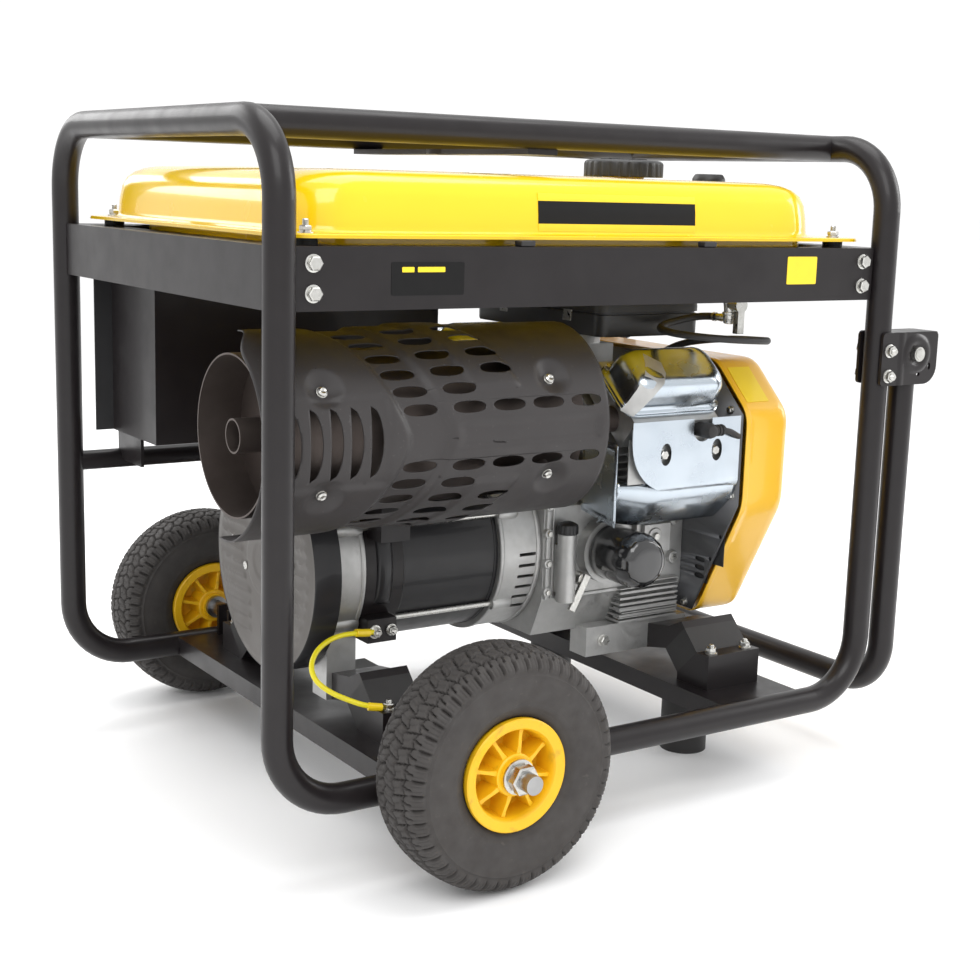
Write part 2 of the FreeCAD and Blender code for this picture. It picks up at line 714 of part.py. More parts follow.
def crankcase():
    """The finned case with two leaning decks, a crank chamber and two foot bars."""
    sump_half = case_half - 22
    outline = [(-sump_half, case_low), (-case_half, case_low + 50), (-case_half, shoulder(case_half)),
               (-deck_in, shoulder(deck_in)), (deck_in, shoulder(deck_in)),
               (case_half, shoulder(case_half)), (case_half, case_low + 50), (sump_half, case_low)]
    parts = [prism("yz", outline, block_x, case_end)]
    for side in (NEAR, FAR):
        inner = engine_foot_y - 34
        pair = (inner, engine_foot_y) if side == FAR else (-engine_foot_y, -inner)
        parts.append(box(block_x + 70, case_end + 10, *pair, engine_foot_z, case_low + 6))
    for number in range(6):
        z = case_low + 8 + number * 7.5
        parts.append(box(block_x + 116, case_end - 12, -case_half - 10, 30 - case_half, z, z + 3))
    filter_boss = rod("y", -case_half - 18, -case_half + 20, filter_x, crank_z - 3, filter_dia / 2 + 6)
    dip_boss = fuse(rod("z", crank_z - 60, crank_z + 25, dip_x, dip_y, 12),
                    box(dip_x - 9, dip_x + 9, dip_y, -case_half + 4, crank_z - 50, crank_z + 10))
    solid = fuse(*parts, filter_boss, dip_boss)
    chamber = rod("x", block_x + 30, case_end - 32, 0, crank_z, 88)
    shaft_hole = rod("x", block_x, case_end, 0, crank_z, shaft_rad + 2)
    bearing_hole = rod("x", case_end - BEARING_LEN - 4, case_end - 4, 0, crank_z, shaft_rad + BEARING_OUT)
    dip_hole = rod("z", crank_z - 58, crank_z + 25, dip_x, dip_y, 4)
    return cut(solid, chamber, shaft_hole, bearing_hole, dip_hole)


filter_x = block_x + 91
dip_x = block_x + 25
dip_y = -case_half - 15
FIN_COUNT, FIN_THICK, FIN_PITCH = 7, 3, 15
shroud_y = head_top * SIN + cylinder_thick / 2 * COS + 3
SHROUD_WALL = 1.5
plug_z = crank_z + 159
PLUG_RAD, PLUG_DEEP = 9, 16


def cylinder(side):
    """A finned barrel and head, built upright and leaned to its own side."""
    start = cylinder_x[side]
    end = start + cylinder_long
    middle = start + cylinder_long / 2
    half = cylinder_thick / 2
    barrel_rad = bore_dia / 2 + 9
    fins = [box(start, end, -half, half, crank_z + cylinder_root + 4 + FIN_PITCH * number,
                crank_z + cylinder_root + 4 + FIN_THICK + FIN_PITCH * number) for number in range(FIN_COUNT)]
    upright = fuse(rod("z", crank_z + cylinder_root, crank_z + cylinder_top + 5, middle, 0, barrel_rad),
                   box(start, end, -half, half, crank_z + cylinder_top, crank_z + head_top), *fins)
    bored = cut(upright, rod("z", crank_z + cylinder_root, crank_z + cylinder_top + 4, middle, 0, bore_dia / 2))
    leaned = tilt(bored, -LEAN * side, 0, crank_z)
    pair = (-head_top, PLUG_DEEP - shroud_y) if side == NEAR else (shroud_y - PLUG_DEEP, head_top)
    return cut(leaned, rod("y", *pair, middle + 38, plug_z, PLUG_RAD))


def valve_cover(side):
    """A pressed cover with rounded corners on a flange."""
    start = cylinder_x[side] - 12
    end = start + cylinder_long + 22
    half = cylinder_thick / 2 - 8
    flange_top = crank_z + head_top + 4
    upright = fuse(round_box("xy", start, end, -half, half, crank_z + head_top, flange_top, 22),
                   round_box("xy", start + 6, end - 6, 6 - half, half - 6, crank_z + head_top,
                             crank_z + cover_top, 20))
    return tilt(upright, -LEAN * side, 0, crank_z)


def piston(side):
    """A plain piston at mid stroke."""
    middle = cylinder_x[side] + cylinder_long / 2
    low = crank_z + cylinder_root + 50
    crown = rod("z", low, low + 46, middle, 0, bore_dia / 2 - turn_gap)
    skirt = rod("z", low, low + 38, middle, 0, bore_dia / 2 - 6)
    return tilt(cut(crown, skirt), -LEAN * side, 0, crank_z)




def shroud(side):
    """The bent sheet over a cylinder's outer side, with its end cheek and plug opening."""
    start = cylinder_x[side] - 6
    end = case_end - 3
    top, fold, tail = crank_z + 173, crank_z + 58, crank_z + 38
    wall = SHROUD_WALL
    skin = [(shroud_y * side, top), (shroud_y * side, fold), ((shroud_y - 44) * side, tail),
            ((shroud_y - 44 - wall) * side, tail + wall), ((shroud_y - wall) * side, fold + wall),
            ((shroud_y - wall) * side, top)]
    cheek = [(shroud_y * side, top - 22), (shroud_y * side, fold), ((shroud_y - 44) * side, tail),
             ((shroud_y - 90) * side, tail + 22), ((shroud_y - 100) * side, top - 60)]
    sheet_metal = fuse(prism("yz", skin, start, end), prism("yz", cheek, start, start + wall))
    pair = (-shroud_y - 5, 20 - shroud_y) if side == NEAR else (shroud_y - 20, shroud_y + 5)
    plug_x = cylinder_x[side] + cylinder_long / 2 + 38
    notch = PLUG_RAD + 4
    return cut(sheet_metal, rod("y", *pair, plug_x, plug_z, notch),
               box(plug_x - notch, plug_x + notch, *pair, plug_z, top + 1))


def spark_plug(side):
    """A plug with its elbow boot, through the opening in the shroud."""
    middle = cylinder_x[side] + cylinder_long / 2 + 38
    inner, outer = shroud_y - PLUG_DEEP, shroud_y + 26
    pair = (-outer, -inner) if side == NEAR else (inner, outer)
    boot_y = (shroud_y + 22) * side
    return fuse(rod("y", *pair, middle, plug_z, PLUG_RAD),
                rod("x", middle, middle + 22, boot_y, plug_z, PLUG_RAD - 1.5))


blower_x = case_end + 4
blower_end = blower_x + blower_len
blower_top = crank_z + 237
blower_low = crank_z - 97


def blower_outline(inset):
    """The eight-sided outline of the fan housing."""
    half = blower_half - inset
    top, low = blower_top - inset, blower_low + inset
    left_side = [(-half, crank_z + 57), (-half, crank_z + 175), (65 - half, top)]
    right_side = [(half - 65, top), (half, crank_z + 175), (half, crank_z + 57)]
    return left_side + right_side + [(half - 78, low), (78 - half, low)]


def blower_housing():
    """The fan housing: an eight-sided pan with a round intake in its end wall."""
    pan = cut(prism("yz", blower_outline(0), blower_x, blower_end),
              prism("yz", blower_outline(blower_wall), blower_x, blower_end - blower_wall))
    return cut(pan, rod("x", blower_x, blower_end, 0, crank_z, flywheel_dia / 2 + 4))


def blower_back_plate():
    """The flat plate between the crankcase and the fan housing."""
    plate = prism("yz", blower_outline(blower_wall + 1), case_end, case_end + 3)
    return cut(plate, rod("x", case_end, case_end + 3, 0, crank_z, shaft_rad + BEARING_OUT + 12))


def blower_grille():
    """A ring of round bars over the intake."""
    rad = flywheel_dia / 2 + 14
    start, end = blower_end, blower_end + 4
    rings = [ring("x", start, end, 0, crank_z, rad - step, rad - step - 4) for step in (0, 24, 48, 72, 94)]
    bars = [box(start, end, -rad + 2, rad - 2, crank_z - 3, crank_z + 3),
            box(start, end, -3, 3, crank_z - rad + 2, crank_z + rad - 2)]
    return fuse(*rings, *bars)


def flywheel():
    """The cast flywheel with its ring of fan blades."""
    start = blower_x + 12
    rad = flywheel_dia / 2
    disc = rod("x", start, start + 22, 0, crank_z, rad)
    hub = rod("x", start - 6, start + 40, 0, crank_z, shaft_rad + 14)
    blades = [box(start + 20, start + 46, y0, y1, crank_z + z0, crank_z + z1)
              for y0, y1, z0, z1 in ((-4, 4, 58, 98), (-4, 4, -98, -58), (58, 98, -4, 4), (-98, -58, -4, 4))]
    return cut(fuse(disc, hub, *blades), rod("x", start - 6, start + 40, 0, crank_z, shaft_rad))


def crankshaft():
    """The main shaft from the alternator to the flywheel, with one throw."""
    left_web, right_web = block_x + 60, case_end - 60
    web_thick, web_rad, throw, pin_rad = 14, 56, 30, 19
    ends = [rod("x", rear_bell_x - 8, left_web, 0, crank_z, shaft_rad),
            rod("x", right_web, blower_x + 50, 0, crank_z, shaft_rad)]
    webs = [rod("x", left_web, left_web + web_thick, 0, crank_z, web_rad),
            rod("x", right_web - web_thick, right_web, 0, crank_z, web_rad)]
    pin = rod("x", left_web, right_web, 0, crank_z + throw, pin_rad)
    return fuse(*ends, *webs, pin)


def oil_filter():
    """The spin-on filter, end towards the near side."""
    face = case_half + 18
    return fuse(rod("y", -face - filter_len + 8, -face, filter_x, crank_z - 3, filter_dia / 2),
                rod("y", -face - filter_len, -face, filter_x, crank_z - 3, filter_dia / 2 - 8))


def oil_dipstick():
    """A rod and cap that pull straight up out of the filler tube."""
    top = crank_z + 25
    return fuse(rod("z", crank_z - 50, top + 4, dip_x, dip_y, 2.5),
                rod("z", top + free_gap, top + 16, dip_x, dip_y, 14))


def carburettor():
    """The carburettor in the V, with its two inlet arms and the horn under the air box."""
    middle = block_x + 125
    arm_reach = 128
    body = box(middle - 35, middle + 35, -32, 32, crank_z + 160, crank_z + 246)
    arms = rod("y", -arm_reach, arm_reach, middle, crank_z + 207, 16)
    bowl = rod("z", crank_z + 140, crank_z + 162, middle, 0, 24)
    horn = rod("z", crank_z + 244, air_box_z, middle, 0, 30)
    barb = rod("x", middle + 34, middle + 47, -34 + 4, crank_z + 199, 5)
    heads = [tilt(box(cylinder_x[side], cylinder_x[side] + cylinder_long, -cylinder_thick / 2, cylinder_thick / 2,
                      crank_z + cylinder_root, crank_z + head_top), -LEAN * side, 0, crank_z)
             for side in (NEAR, FAR)]
    return fuse(body, cut(arms, *heads), bowl, horn, barb)


air_box_z = crank_z + 265


def air_filter_box():
    """The flat air cleaner over the V."""
    start, end, half, tall = block_x + 55, block_x + 215, 140, 58
    return round_box("xy", start, end, -half, half, air_box_z, air_box_z + tall, 16)


def starter_motor():
    """The starter beside the crankcase, against the back plate."""
    return rod("x", case_end - 92, case_end, case_half + 38, crank_z - 62, 34)


def starter_bracket_joint():
    """A cast arm from the crankcase to the starter."""
    return box(case_end - 50, case_end - 20, case_half, case_half + 20, crank_z - 80, crank_z - 40)


# ---------------------------------------------------------------- exhaust
mouth_x = shield_x + 15
muffler_start = shield_x + 65
muffler_end = muffler_start + muffler_len
NEAR_PIPE_DROP = 10
FAR_PIPE_X = 458
FAR_PIPE_BEND = 45
FAR_PIPE_ENTRY = 48


def muffler():
    """The muffler drum with a straight pipe, a crossing pipe and the tail pipe."""
    near_x = cylinder_x[NEAR]
    far_x = cylinder_x[FAR]
    entry_y = muffler_y + FAR_PIPE_ENTRY
    head_y = -muffler_y

    def runs(wall):
        pipe, tail = header_dia / 2 - wall, tail_dia / 2 - wall
        return [
            rod("x", muffler_start + wall, muffler_end - wall, muffler_y, muffler_z, muffler_dia / 2 - wall),
            rod("x", muffler_end - 10, near_x, muffler_y, muffler_z - NEAR_PIPE_DROP, pipe),
            rod("x", muffler_end - 10, FAR_PIPE_X - FAR_PIPE_BEND, entry_y, muffler_z, pipe),
            bend(FAR_PIPE_X - FAR_PIPE_BEND, entry_y + FAR_PIPE_BEND, muffler_z, Vector(0, -1, 0), AHEAD,
                 FAR_PIPE_BEND, pipe),
            rod("y", entry_y + FAR_PIPE_BEND, head_y - 20, FAR_PIPE_X, muffler_z, pipe),
            bend(FAR_PIPE_X + 20, head_y - 20, muffler_z, ACROSS, BACK, 20, pipe),
            rod("x", FAR_PIPE_X + 20, far_x, head_y, muffler_z, pipe),
            rod("x", shield_x + 17, muffler_start + 10, muffler_y, muffler_z, tail),
        ]
    rim_rad = muffler_dia / 2
    mouth = ring("x", mouth_x, muffler_start + 2, muffler_y, muffler_z, rim_rad, rim_rad - 2)
    return fuse(cut(fuse(*runs(as_size(0))), fuse(*runs(as_size(2)))), mouth)


def muffler_shield():
    """A rolled half shell on the muffler's near side, on four stand-offs."""
    end = shield_x + shield_len
    rad = shield_dia / 2
    skin = ring("x", shield_x, end, muffler_y, muffler_z, rad, rad - shield_wall)
    opening = box(shield_x, end, muffler_y + 12, muffler_y + rad + 1, muffler_z - rad - 1, muffler_z + rad + 1)
    posts = []
    drum_rad = muffler_dia / 2
    for x in (shield_x + 75, shield_x + 355):
        for z in (muffler_z + 56, muffler_z - 56):
            posts.append(rod("y", muffler_y - rad, muffler_y - 50, x, z, 7))
    within = rod("x", shield_x, end, muffler_y, muffler_z, rad - shield_wall / 2)
    drum = rod("x", muffler_start, muffler_end, muffler_y, muffler_z, drum_rad)
    return fuse(cut(skin, opening), cut(common(fuse(*posts), within), drum))


# ---------------------------------------------------------------- fuel
flange_low = beam_top + 7
flange_mid = flange_low + tank_wall
flange_top = flange_mid + tank_wall
tank_top = flange_top + tank_rise
tank_start = tube_rad + 20
tank_end = frame_len - tube_rad - 46
tank_half = half_wid - tank_side_gap - 24
cap_x, cap_y = block_x + 144, -58
gauge_x, gauge_y = block_x + 259, -88
neck_top = tank_top + 12
TANK_CORNER, PAN_INSET = 72, 46


def flange(low, high):
    """The tank's seam, as wide as the frame leaves between its uprights."""
    reach = half_wid - tank_side_gap
    return round_box("xy", tube_rad + 2, frame_len - tube_rad - 2, -reach, reach, low, high, 30)


def tapered_block(inset, low):
    """The upper half of the tank, narrower at the top on all four sides."""
    lean = 26
    high = tank_top - inset
    across = [(inset - tank_half, low), (tank_half - inset, low), (tank_half - inset, flange_top + 8),
              (tank_half - inset - lean, high), (lean + inset - tank_half, high),
              (inset - tank_half, flange_top + 8)]
    ahead = [(tank_start + inset, low), (tank_end - inset, low), (tank_end - inset, flange_top + 8),
             (tank_end - inset - lean, high), (tank_start + inset + lean, high),
             (tank_start + inset, flange_top + 8)]
    corners = round_box("xy", tank_start + inset, tank_end - inset, inset - tank_half, tank_half - inset,
                        low, high, TANK_CORNER - inset)
    return common(common(prism("yz", across, 0, frame_len), prism("xz", ahead, -half_wid, half_wid)), corners)


def tank_upper_shell():
    """The pressed upper half with the filler neck."""
    outside = fuse(tapered_block(as_size(0), flange_mid), flange(flange_mid, flange_top),
                   rod("z", tank_top - tank_wall, neck_top, cap_x, cap_y, neck_dia / 2))
    return cut(outside, tapered_block(tank_wall, flange_mid - 1),
               rod("z", tank_top - 10, neck_top, cap_x, cap_y, neck_dia / 2 - 2),
               *tank_bolt_holes())


def tank_lower_shell():
    """The pressed lower half, a shallow pan between the beams."""
    low = flange_mid - tank_deep
    start, end = tank_start + PAN_INSET, tank_end - PAN_INSET / 2
    outside = fuse(round_box("xy", start, end, -tank_half, tank_half, low, flange_mid, 40),
                   flange(flange_low, flange_mid))
    inside = round_box("xy", start + tank_wall, end - tank_wall, tank_wall - tank_half,
                       tank_half - tank_wall, low + tank_wall, flange_mid, 38)
    return cut(outside, inside, *tank_bolt_holes())


TANK_BOLT_IN = 40
tank_corners = [(x, y) for x in (tube_rad + 32, frame_len - tube_rad - 32)
                for y in (TANK_BOLT_IN - half_wid, half_wid - TANK_BOLT_IN)]


def tank_bolt_holes():
    """A hole at each corner tab."""
    return [rod("z", flange_low, flange_top, x, y, bolt_dia / 2) for x, y in tank_corners]


def fuel_cap():
    """A ribbed cap whose skirt hangs over the neck."""
    gap = 1
    solid = rod("z", tank_top + gap, tank_top + 27, cap_x, cap_y, cap_dia / 2)
    return cut(solid, rod("z", tank_top, neck_top + free_gap, cap_x, cap_y, neck_dia / 2 + gap))


valve_x, valve_y = block_x + 190, -218
valve_top = flange_mid - tank_deep


def fuel_valve_body():
    """The tap under the tank with its outlet barb."""
    return fuse(rod("z", valve_top - 52, valve_top, valve_x, valve_y, 9),
                rod("y", valve_y, valve_y + 22, valve_x, valve_top - 45, 5),
                rod("y", valve_y - 12, valve_y, valve_x, valve_top - 28, 8))


def fuel_valve_lever():
    """A quarter-turn lever on the near side of the tap."""
    y0, y1 = valve_y - 21, valve_y - 12 - free_gap
    return fuse(rod("y", y0, y1, valve_x, valve_top - 28, 9),
                box(valve_x - 5, valve_x + 5, y0, y1, valve_top - 62, valve_top - 28))


# ---------------------------------------------------------------- control box
box_start = 40
box_end = box_start + box_len
panel_y = half_wid - 48
box_back = panel_y - box_deep
box_top = beam_low - 2
box_low = box_top - box_tall
PANEL_THICK, PANEL_LIP = 3, 22


def control_box():
    """The box under the far beam, open to the far side, on straps and two rail brackets."""
    wall = 2
    shell = cut(box(box_start, box_end, box_back, panel_y, box_low, box_top),
                box(box_start + wall, box_end - wall, box_back + wall, panel_y, box_low + wall, box_top - wall))
    strap = box(box_start + 20, box_end - 20, panel_y - 40, half_wid - 10, box_top, beam_low)
    brackets = [box(x, x + 4, panel_y - 30, half_wid, panel_rail_z, box_low) for x in (box_start + 24, box_end - 28)]
    rail = rod("x", box_start, box_end, half_wid, panel_rail_z, panel_rail_dia / 2)
    return cut(fuse(shell, strap, *brackets), rail)


lever_x, lever_z = box_end - 70, box_top - 50
key_x, key_z = box_end - 70, box_low + 42
choke_x, choke_z = box_start + 40, box_low + 42
button_x, button_z = box_start + 120, box_low + 42
DIAL_RAD = 5


def control_panel():
    """The panel that closes the box, with the bores of the controls."""
    plate = box(box_start - PANEL_LIP, box_end + PANEL_LIP, panel_y, panel_y + PANEL_THICK, box_low, box_top)
    holes = [rod("y", panel_y, panel_y + PANEL_THICK, x, z, DIAL_RAD + turn_gap)
             for x, z in ((key_x, key_z), (choke_x, choke_z), (button_x, button_z), (lever_x, lever_z))]
    return cut(plate, *holes)


def outlets():
    """Two square socket blocks, a round locking socket and the hour meter."""
    face = panel_y + PANEL_THICK
    squares = [round_box("xz", x, x + 62, box_top - 84, box_top - 22, face, face + 9, 6)
               for x in (box_start + 24, box_start + 104)]
    round_one = rod("y", face, face + 14, box_start + 226, box_top - 53, 31)
    meter = round_box("xz", box_start + 190, box_start + 250, box_low + 26, box_low + 58, face, face + 6, 4)
    return squares + [round_one, meter]


def turned_control(x, z, grip_rad, grip_len):
    """A stem through the panel with a round grip outside it and a keeper inside."""
    face = panel_y + PANEL_THICK
    return fuse(rod("y", panel_y - 8, face + 4, x, z, DIAL_RAD),
                rod("y", panel_y - 8, panel_y - 4, x, z, DIAL_RAD + 3),
                rod("y", face + 3, face + 3 + grip_len, x, z, grip_rad))


def ignition_key():
    """The key in its barrel."""
    face = panel_y + PANEL_THICK
    return fuse(turned_control(key_x, key_z, 9, 5),
                box(key_x - 2, key_x + 2, face + 8, face + 24, key_z - 11, key_z + 11))


def main_switch():
    """A turning main breaker handle."""
    face = panel_y + PANEL_THICK
    return fuse(turned_control(lever_x, lever_z, 16, 7),
                box(lever_x - 4, lever_x + 4, face + 9, face + 18, lever_z - 16, lever_z + 16))


def choke_knob():
    """A knob that pulls out of the panel."""
    face = panel_y + PANEL_THICK
    return fuse(rod("y", panel_y - 34, face + 4, choke_x, choke_z, DIAL_RAD),
                rod("y", face + 3, face + 17, choke_x, choke_z, 13))


def breaker_button():
    """A push button with its travel outside the panel."""
    face = panel_y + PANEL_THICK
    return fuse(rod("y", panel_y - 8, face + 6, button_x, button_z, DIAL_RAD),
                rod("y", face + 5, face + 11, button_x, button_z, 8))


# ---------------------------------------------------------------- pull handle
handle_x = frame_len + handle_reach
handle_bend = size("handle_bend", 60)
ear_gap = size("ear_gap", 0.8)
ear_thick = size("ear_thick", 4)
LEG_TOP = 14


def handle():
    """A U-shaped tube that hangs from its two pivots."""
    def runs(radius):
        parts = []
        for side in (NEAR, FAR):
            y = half_wid * side
            parts.append(rod("z", handle_bar_z + handle_bend, handle_pivot_z + LEG_TOP, handle_x, y, radius))
            parts.append(bend(handle_x, y - handle_bend * side, handle_bar_z + handle_bend,
                              OUTWARD[side], DOWN, handle_bend, radius))
        reach = half_wid - handle_bend
        parts.append(rod("y", -reach, reach, handle_x, handle_bar_z, radius))
        return parts
    bores = [rod("y", half_wid * side - tube_rad - 1, half_wid * side + tube_rad + 1, handle_x, handle_pivot_z,
                 pivot_dia / 2 + turn_gap) for side in (NEAR, FAR)]
    return cut(hollow(runs, tube_rad, tube_wall), *bores)


def handle_bracket(side):
    """Two ears and a stop plate bolted to an upright, with the pivot between the ears."""
    y = half_wid * side
    inner = tube_rad + ear_gap
    outer = inner + ear_thick
    back, front = frame_len - 12, frame_len + bracket_reach
    low, high = handle_pivot_z - 38, handle_pivot_z + 27
    ears = [box(back, front, y - outer, y - inner, low, high), box(back, front, y + inner, y + outer, low, high)]
    stop = box(frame_len + tube_rad + 4, front, y - outer, y + outer, high - 4, high)
    pivot = rod("y", y - outer, y + outer, handle_x, handle_pivot_z, pivot_dia / 2)
    screws = [rod("y", y - outer, y + outer, frame_len, z, bolt_dia / 2)
              for z in (handle_pivot_z + 5, handle_pivot_z - 26)]
    return cut(fuse(*ears, stop), pivot, *screws)


def pivot_bolt(side):
    """A bolt across both ears."""
    y = half_wid * side
    reach = tube_rad + ear_gap + ear_thick
    ends = [rod("y", y - reach - 6, y - reach, handle_x, handle_pivot_z, pivot_dia / 2 + 4),
            rod("y", y + reach, y + reach + 6, handle_x, handle_pivot_z, pivot_dia / 2 + 4)]
    return fuse(rod("y", y - reach - 6, y + reach + 6, handle_x, handle_pivot_z, pivot_dia / 2), *ends)


# ---------------------------------------------------------------- small hardware
def fasteners():
    """Beam, bracket, pedestal and tank bolts."""
    bolts = []
    rad = bolt_dia / 2
    for side in (NEAR, FAR):
        for x in (tube_rad + 20, frame_len - tube_rad - 20):
            for z in (beam_top - 16, beam_low + 17):
                start = half_wid if side == FAR else -half_wid - rad * 1.3
                bolts.append(rod("y", start, start + rad * 1.3, x, z, rad * 1.8))
        for z in (handle_pivot_z + 5, handle_pivot_z - 26):
            reach = tube_rad + ear_gap + ear_thick
            for way in (-1, 1):
                face = half_wid * side + reach * way
                start = face if way > 0 else face - 5
                bolts.append(rod("y", start, start + 5, frame_len, z, rad * 1.7))
    for x, y in tank_corners:
        bolts.append(bolt("z", flange_low, flange_top, x, y, rad))
    for side, start, end, foot_edge, foot_z in mounts:
        y = (foot_edge + 108) * side
        for x in (start + 14, end - 14):
            bolts.append(rod("z", foot_z + 18, foot_z + 24, x, y, rad * 1.7))
    return bolts


def tank_rubbers():
    """A rubber block under each corner of the tank."""
    return [ring("z", beam_top, flange_low, x, y, 12, bolt_dia / 2) for x, y in tank_corners]


def rubber_feet():
    """The two feet under the engine's channel."""
    top = channel_top - sheet_steel
    return [rod("z", 0, top, engine_channel_x, foot_y * side, foot_dia / 2) for side in (NEAR, FAR)]


# ---------------------------------------------------------------- the assembly
node("near_side_tube", side_tube(NEAR))
node("far_side_tube", side_tube(FAR))
node("cross_tubes", *top_tubes(), panel_rail())
node("side_beams", side_beam(NEAR), side_beam(FAR))
node("end_beams", end_beam(as_size(0), 1), end_beam(frame_len, -1))
node("cross_channels", wheel_channel(), cross_channel(engine_channel_x))
node("mounting_brackets", *[isolator(*spot, part) for spot in mounts for part in ("pedestal", "bracket")])
node("rubber_isolators", *[isolator(*spot, "rubber") for spot in mounts], *tank_rubbers())
node("rubber_feet", *rubber_feet())
node("lifting_bracket", lifting_bracket())
node("fasteners", *fasteners(), *wheel_nuts())

node("near_tyre", tyre(NEAR))
node("near_rim", rim(NEAR))
node("far_tyre", tyre(FAR))
node("far_rim", rim(FAR))
node("stub_axles", stub_axle(NEAR), stub_axle(FAR))

node("alternator_end_cover", end_cover())
node("alternator_rear_bell", rear_bell())
node("alternator_stator", ring("x", stator_x, bell_x, 0, crank_z, stator_rad, stator_bore / 2))
node("alternator_front_bell", front_bell())
node("alternator_rotor", *alternator_rotor())
node("shaft_bearings", *bearings())
node("voltage_regulator", voltage_regulator())
node("muffler_strap", muffler_strap())

node("crankcase", crankcase())
node("cylinders", cylinder(NEAR), cylinder(FAR))
node("valve_covers", valve_cover(NEAR), valve_cover(FAR))
node("cylinder_shrouds", shroud(NEAR), shroud(FAR))
node("pistons", piston(NEAR), piston(FAR))
node("crankshaft", crankshaft())
node("flywheel", flywheel())
node("blower_back_plate", blower_back_plate())
node("blower_housing", blower_housing())
node("blower_grille", blower_grille())
node("oil_filter", oil_filter())
node("oil_dipstick", oil_dipstick())
node("spark_plugs", spark_plug(NEAR), spark_plug(FAR))
node("carburettor", carburettor())
node("air_filter_box", air_filter_box())
node("starter_motor", fuse(starter_motor(), starter_bracket_joint()))

node("muffler", muffler())
node("muffler_shield", muffler_shield())

node("tank_lower_shell", tank_lower_shell())
node("tank_upper_shell", tank_upper_shell())
node("fuel_cap", fuel_cap())
node("fuel_gauge", rod("z", tank_top, tank_top + 9, gauge_x, gauge_y, 19))
node("fuel_valve_body", fuel_valve_body())
node("fuel_valve_lever", fuel_valve_lever())

node("control_box", control_box())
node("control_panel", control_panel())
node("outlets", *outlets())
node("ignition_key", ignition_key())
node("main_switch", main_switch())
node("choke_knob", choke_knob())
node("breaker_button", breaker_button())

node("handle_tube", handle())
node("handle_brackets", handle_bracket(NEAR), handle_bracket(FAR))
node("handle_pivot_bolts", pivot_bolt(NEAR), pivot_bolt(FAR))

cord("earth_lead", 3, [(212, -118, 207), (186, -119, 210), (158, -122, 210), (132, -132, 203),
                       (115, -146, 190), (113, -160, 176), (125, -174, 164), (144, -186, 155),
                       (160, -196, 149), (177, -200, 146.2)])
cord("fuel_hose", 4.5, [(640, -196, 568), (640, -174, 568), (623, -152, 562), (594, -150, 556),
                        (571, -170, 553), (563, -202, 551), (576, -236, 549), (608, -259, 547),
                        (646, -263, 545), (682, -246, 542), (700, -212, 539), (698, -170, 537),
                        (687, -130, 533), (667, -96, 525), (657, -66, 507), (654, -42, 486),
                        (643, -30, 474), (622, -30, 474)])

# ---------------------------------------------------------------- checks and export
doc.recompute()
bad = [item.Name for item in doc.Objects if {"Invalid", "Error"} & set(item.State)]
if bad:
    raise RuntimeError(f"objects failed: {bad}")
labels = [item.Label for item in nodes]
if len(labels) != len(set(labels)):
    raise RuntimeError("two sub-parts share a name")
for item in nodes:
    if item.Shape.isNull() or not item.Shape.isValid():
        raise RuntimeError(f"{item.Label} has no valid shape")
os.makedirs("parts", exist_ok=True)
for item in nodes:
    print(f"{item.Label}: {len(item.Shape.Solids)} solids, {item.Shape.Volume / 1000:.0f} cm3")
    item.Shape.exportStep(f"parts/{item.Label}.step")
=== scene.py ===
"""Looks of the portable generator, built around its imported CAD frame. Units are metres."""
import json
from math import copysign, cos, dist, floor, hypot, pi, radians, sin, sqrt

import bmesh
import bpy
from mathutils import Matrix, Vector


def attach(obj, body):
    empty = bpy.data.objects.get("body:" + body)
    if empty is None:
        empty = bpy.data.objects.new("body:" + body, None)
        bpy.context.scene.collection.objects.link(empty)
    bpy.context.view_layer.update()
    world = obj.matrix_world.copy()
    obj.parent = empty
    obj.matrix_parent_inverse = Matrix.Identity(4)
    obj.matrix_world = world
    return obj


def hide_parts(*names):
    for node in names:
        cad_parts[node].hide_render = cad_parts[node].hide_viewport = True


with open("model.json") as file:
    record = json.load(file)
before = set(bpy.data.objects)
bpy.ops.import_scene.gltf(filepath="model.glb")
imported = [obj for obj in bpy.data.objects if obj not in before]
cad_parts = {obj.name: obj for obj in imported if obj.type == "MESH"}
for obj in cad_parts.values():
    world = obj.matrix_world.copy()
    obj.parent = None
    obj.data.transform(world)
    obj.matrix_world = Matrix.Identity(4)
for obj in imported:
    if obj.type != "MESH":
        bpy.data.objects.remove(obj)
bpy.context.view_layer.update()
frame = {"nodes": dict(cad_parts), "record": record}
MM = 0.001


# ---------------------------------------------------------------- mesh helpers
def link(name, mesh, body, material, smooth_angle=40):
    """Make an object of a mesh, shade it and let it ride on a body."""
    piece = bpy.data.objects.new(name, mesh)
    bpy.context.scene.collection.objects.link(piece)
    mesh.materials.append(material)
    if smooth_angle:
        mesh.shade_smooth()
        mesh.set_sharp_from_angle(angle=radians(smooth_angle))
    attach(piece, body)
    return piece


def from_bmesh(name, bm, body, material, smooth_angle=40):
    """Finish a bmesh as a piece."""
    bmesh.ops.recalc_face_normals(bm, faces=bm.faces)
    mesh = bpy.data.meshes.new(name)
    bm.to_mesh(mesh)
    bm.free()
    return link(name, mesh, body, material, smooth_angle)


def bevel(piece, width, segments=2, angle=35):
    """Round a piece's hard edges."""
    modifier = piece.modifiers.new("Edges", "BEVEL")
    modifier.width = width
    modifier.segments = segments
    modifier.limit_method = "ANGLE"
    modifier.angle_limit = radians(angle)
    modifier.harden_normals = True
    return piece


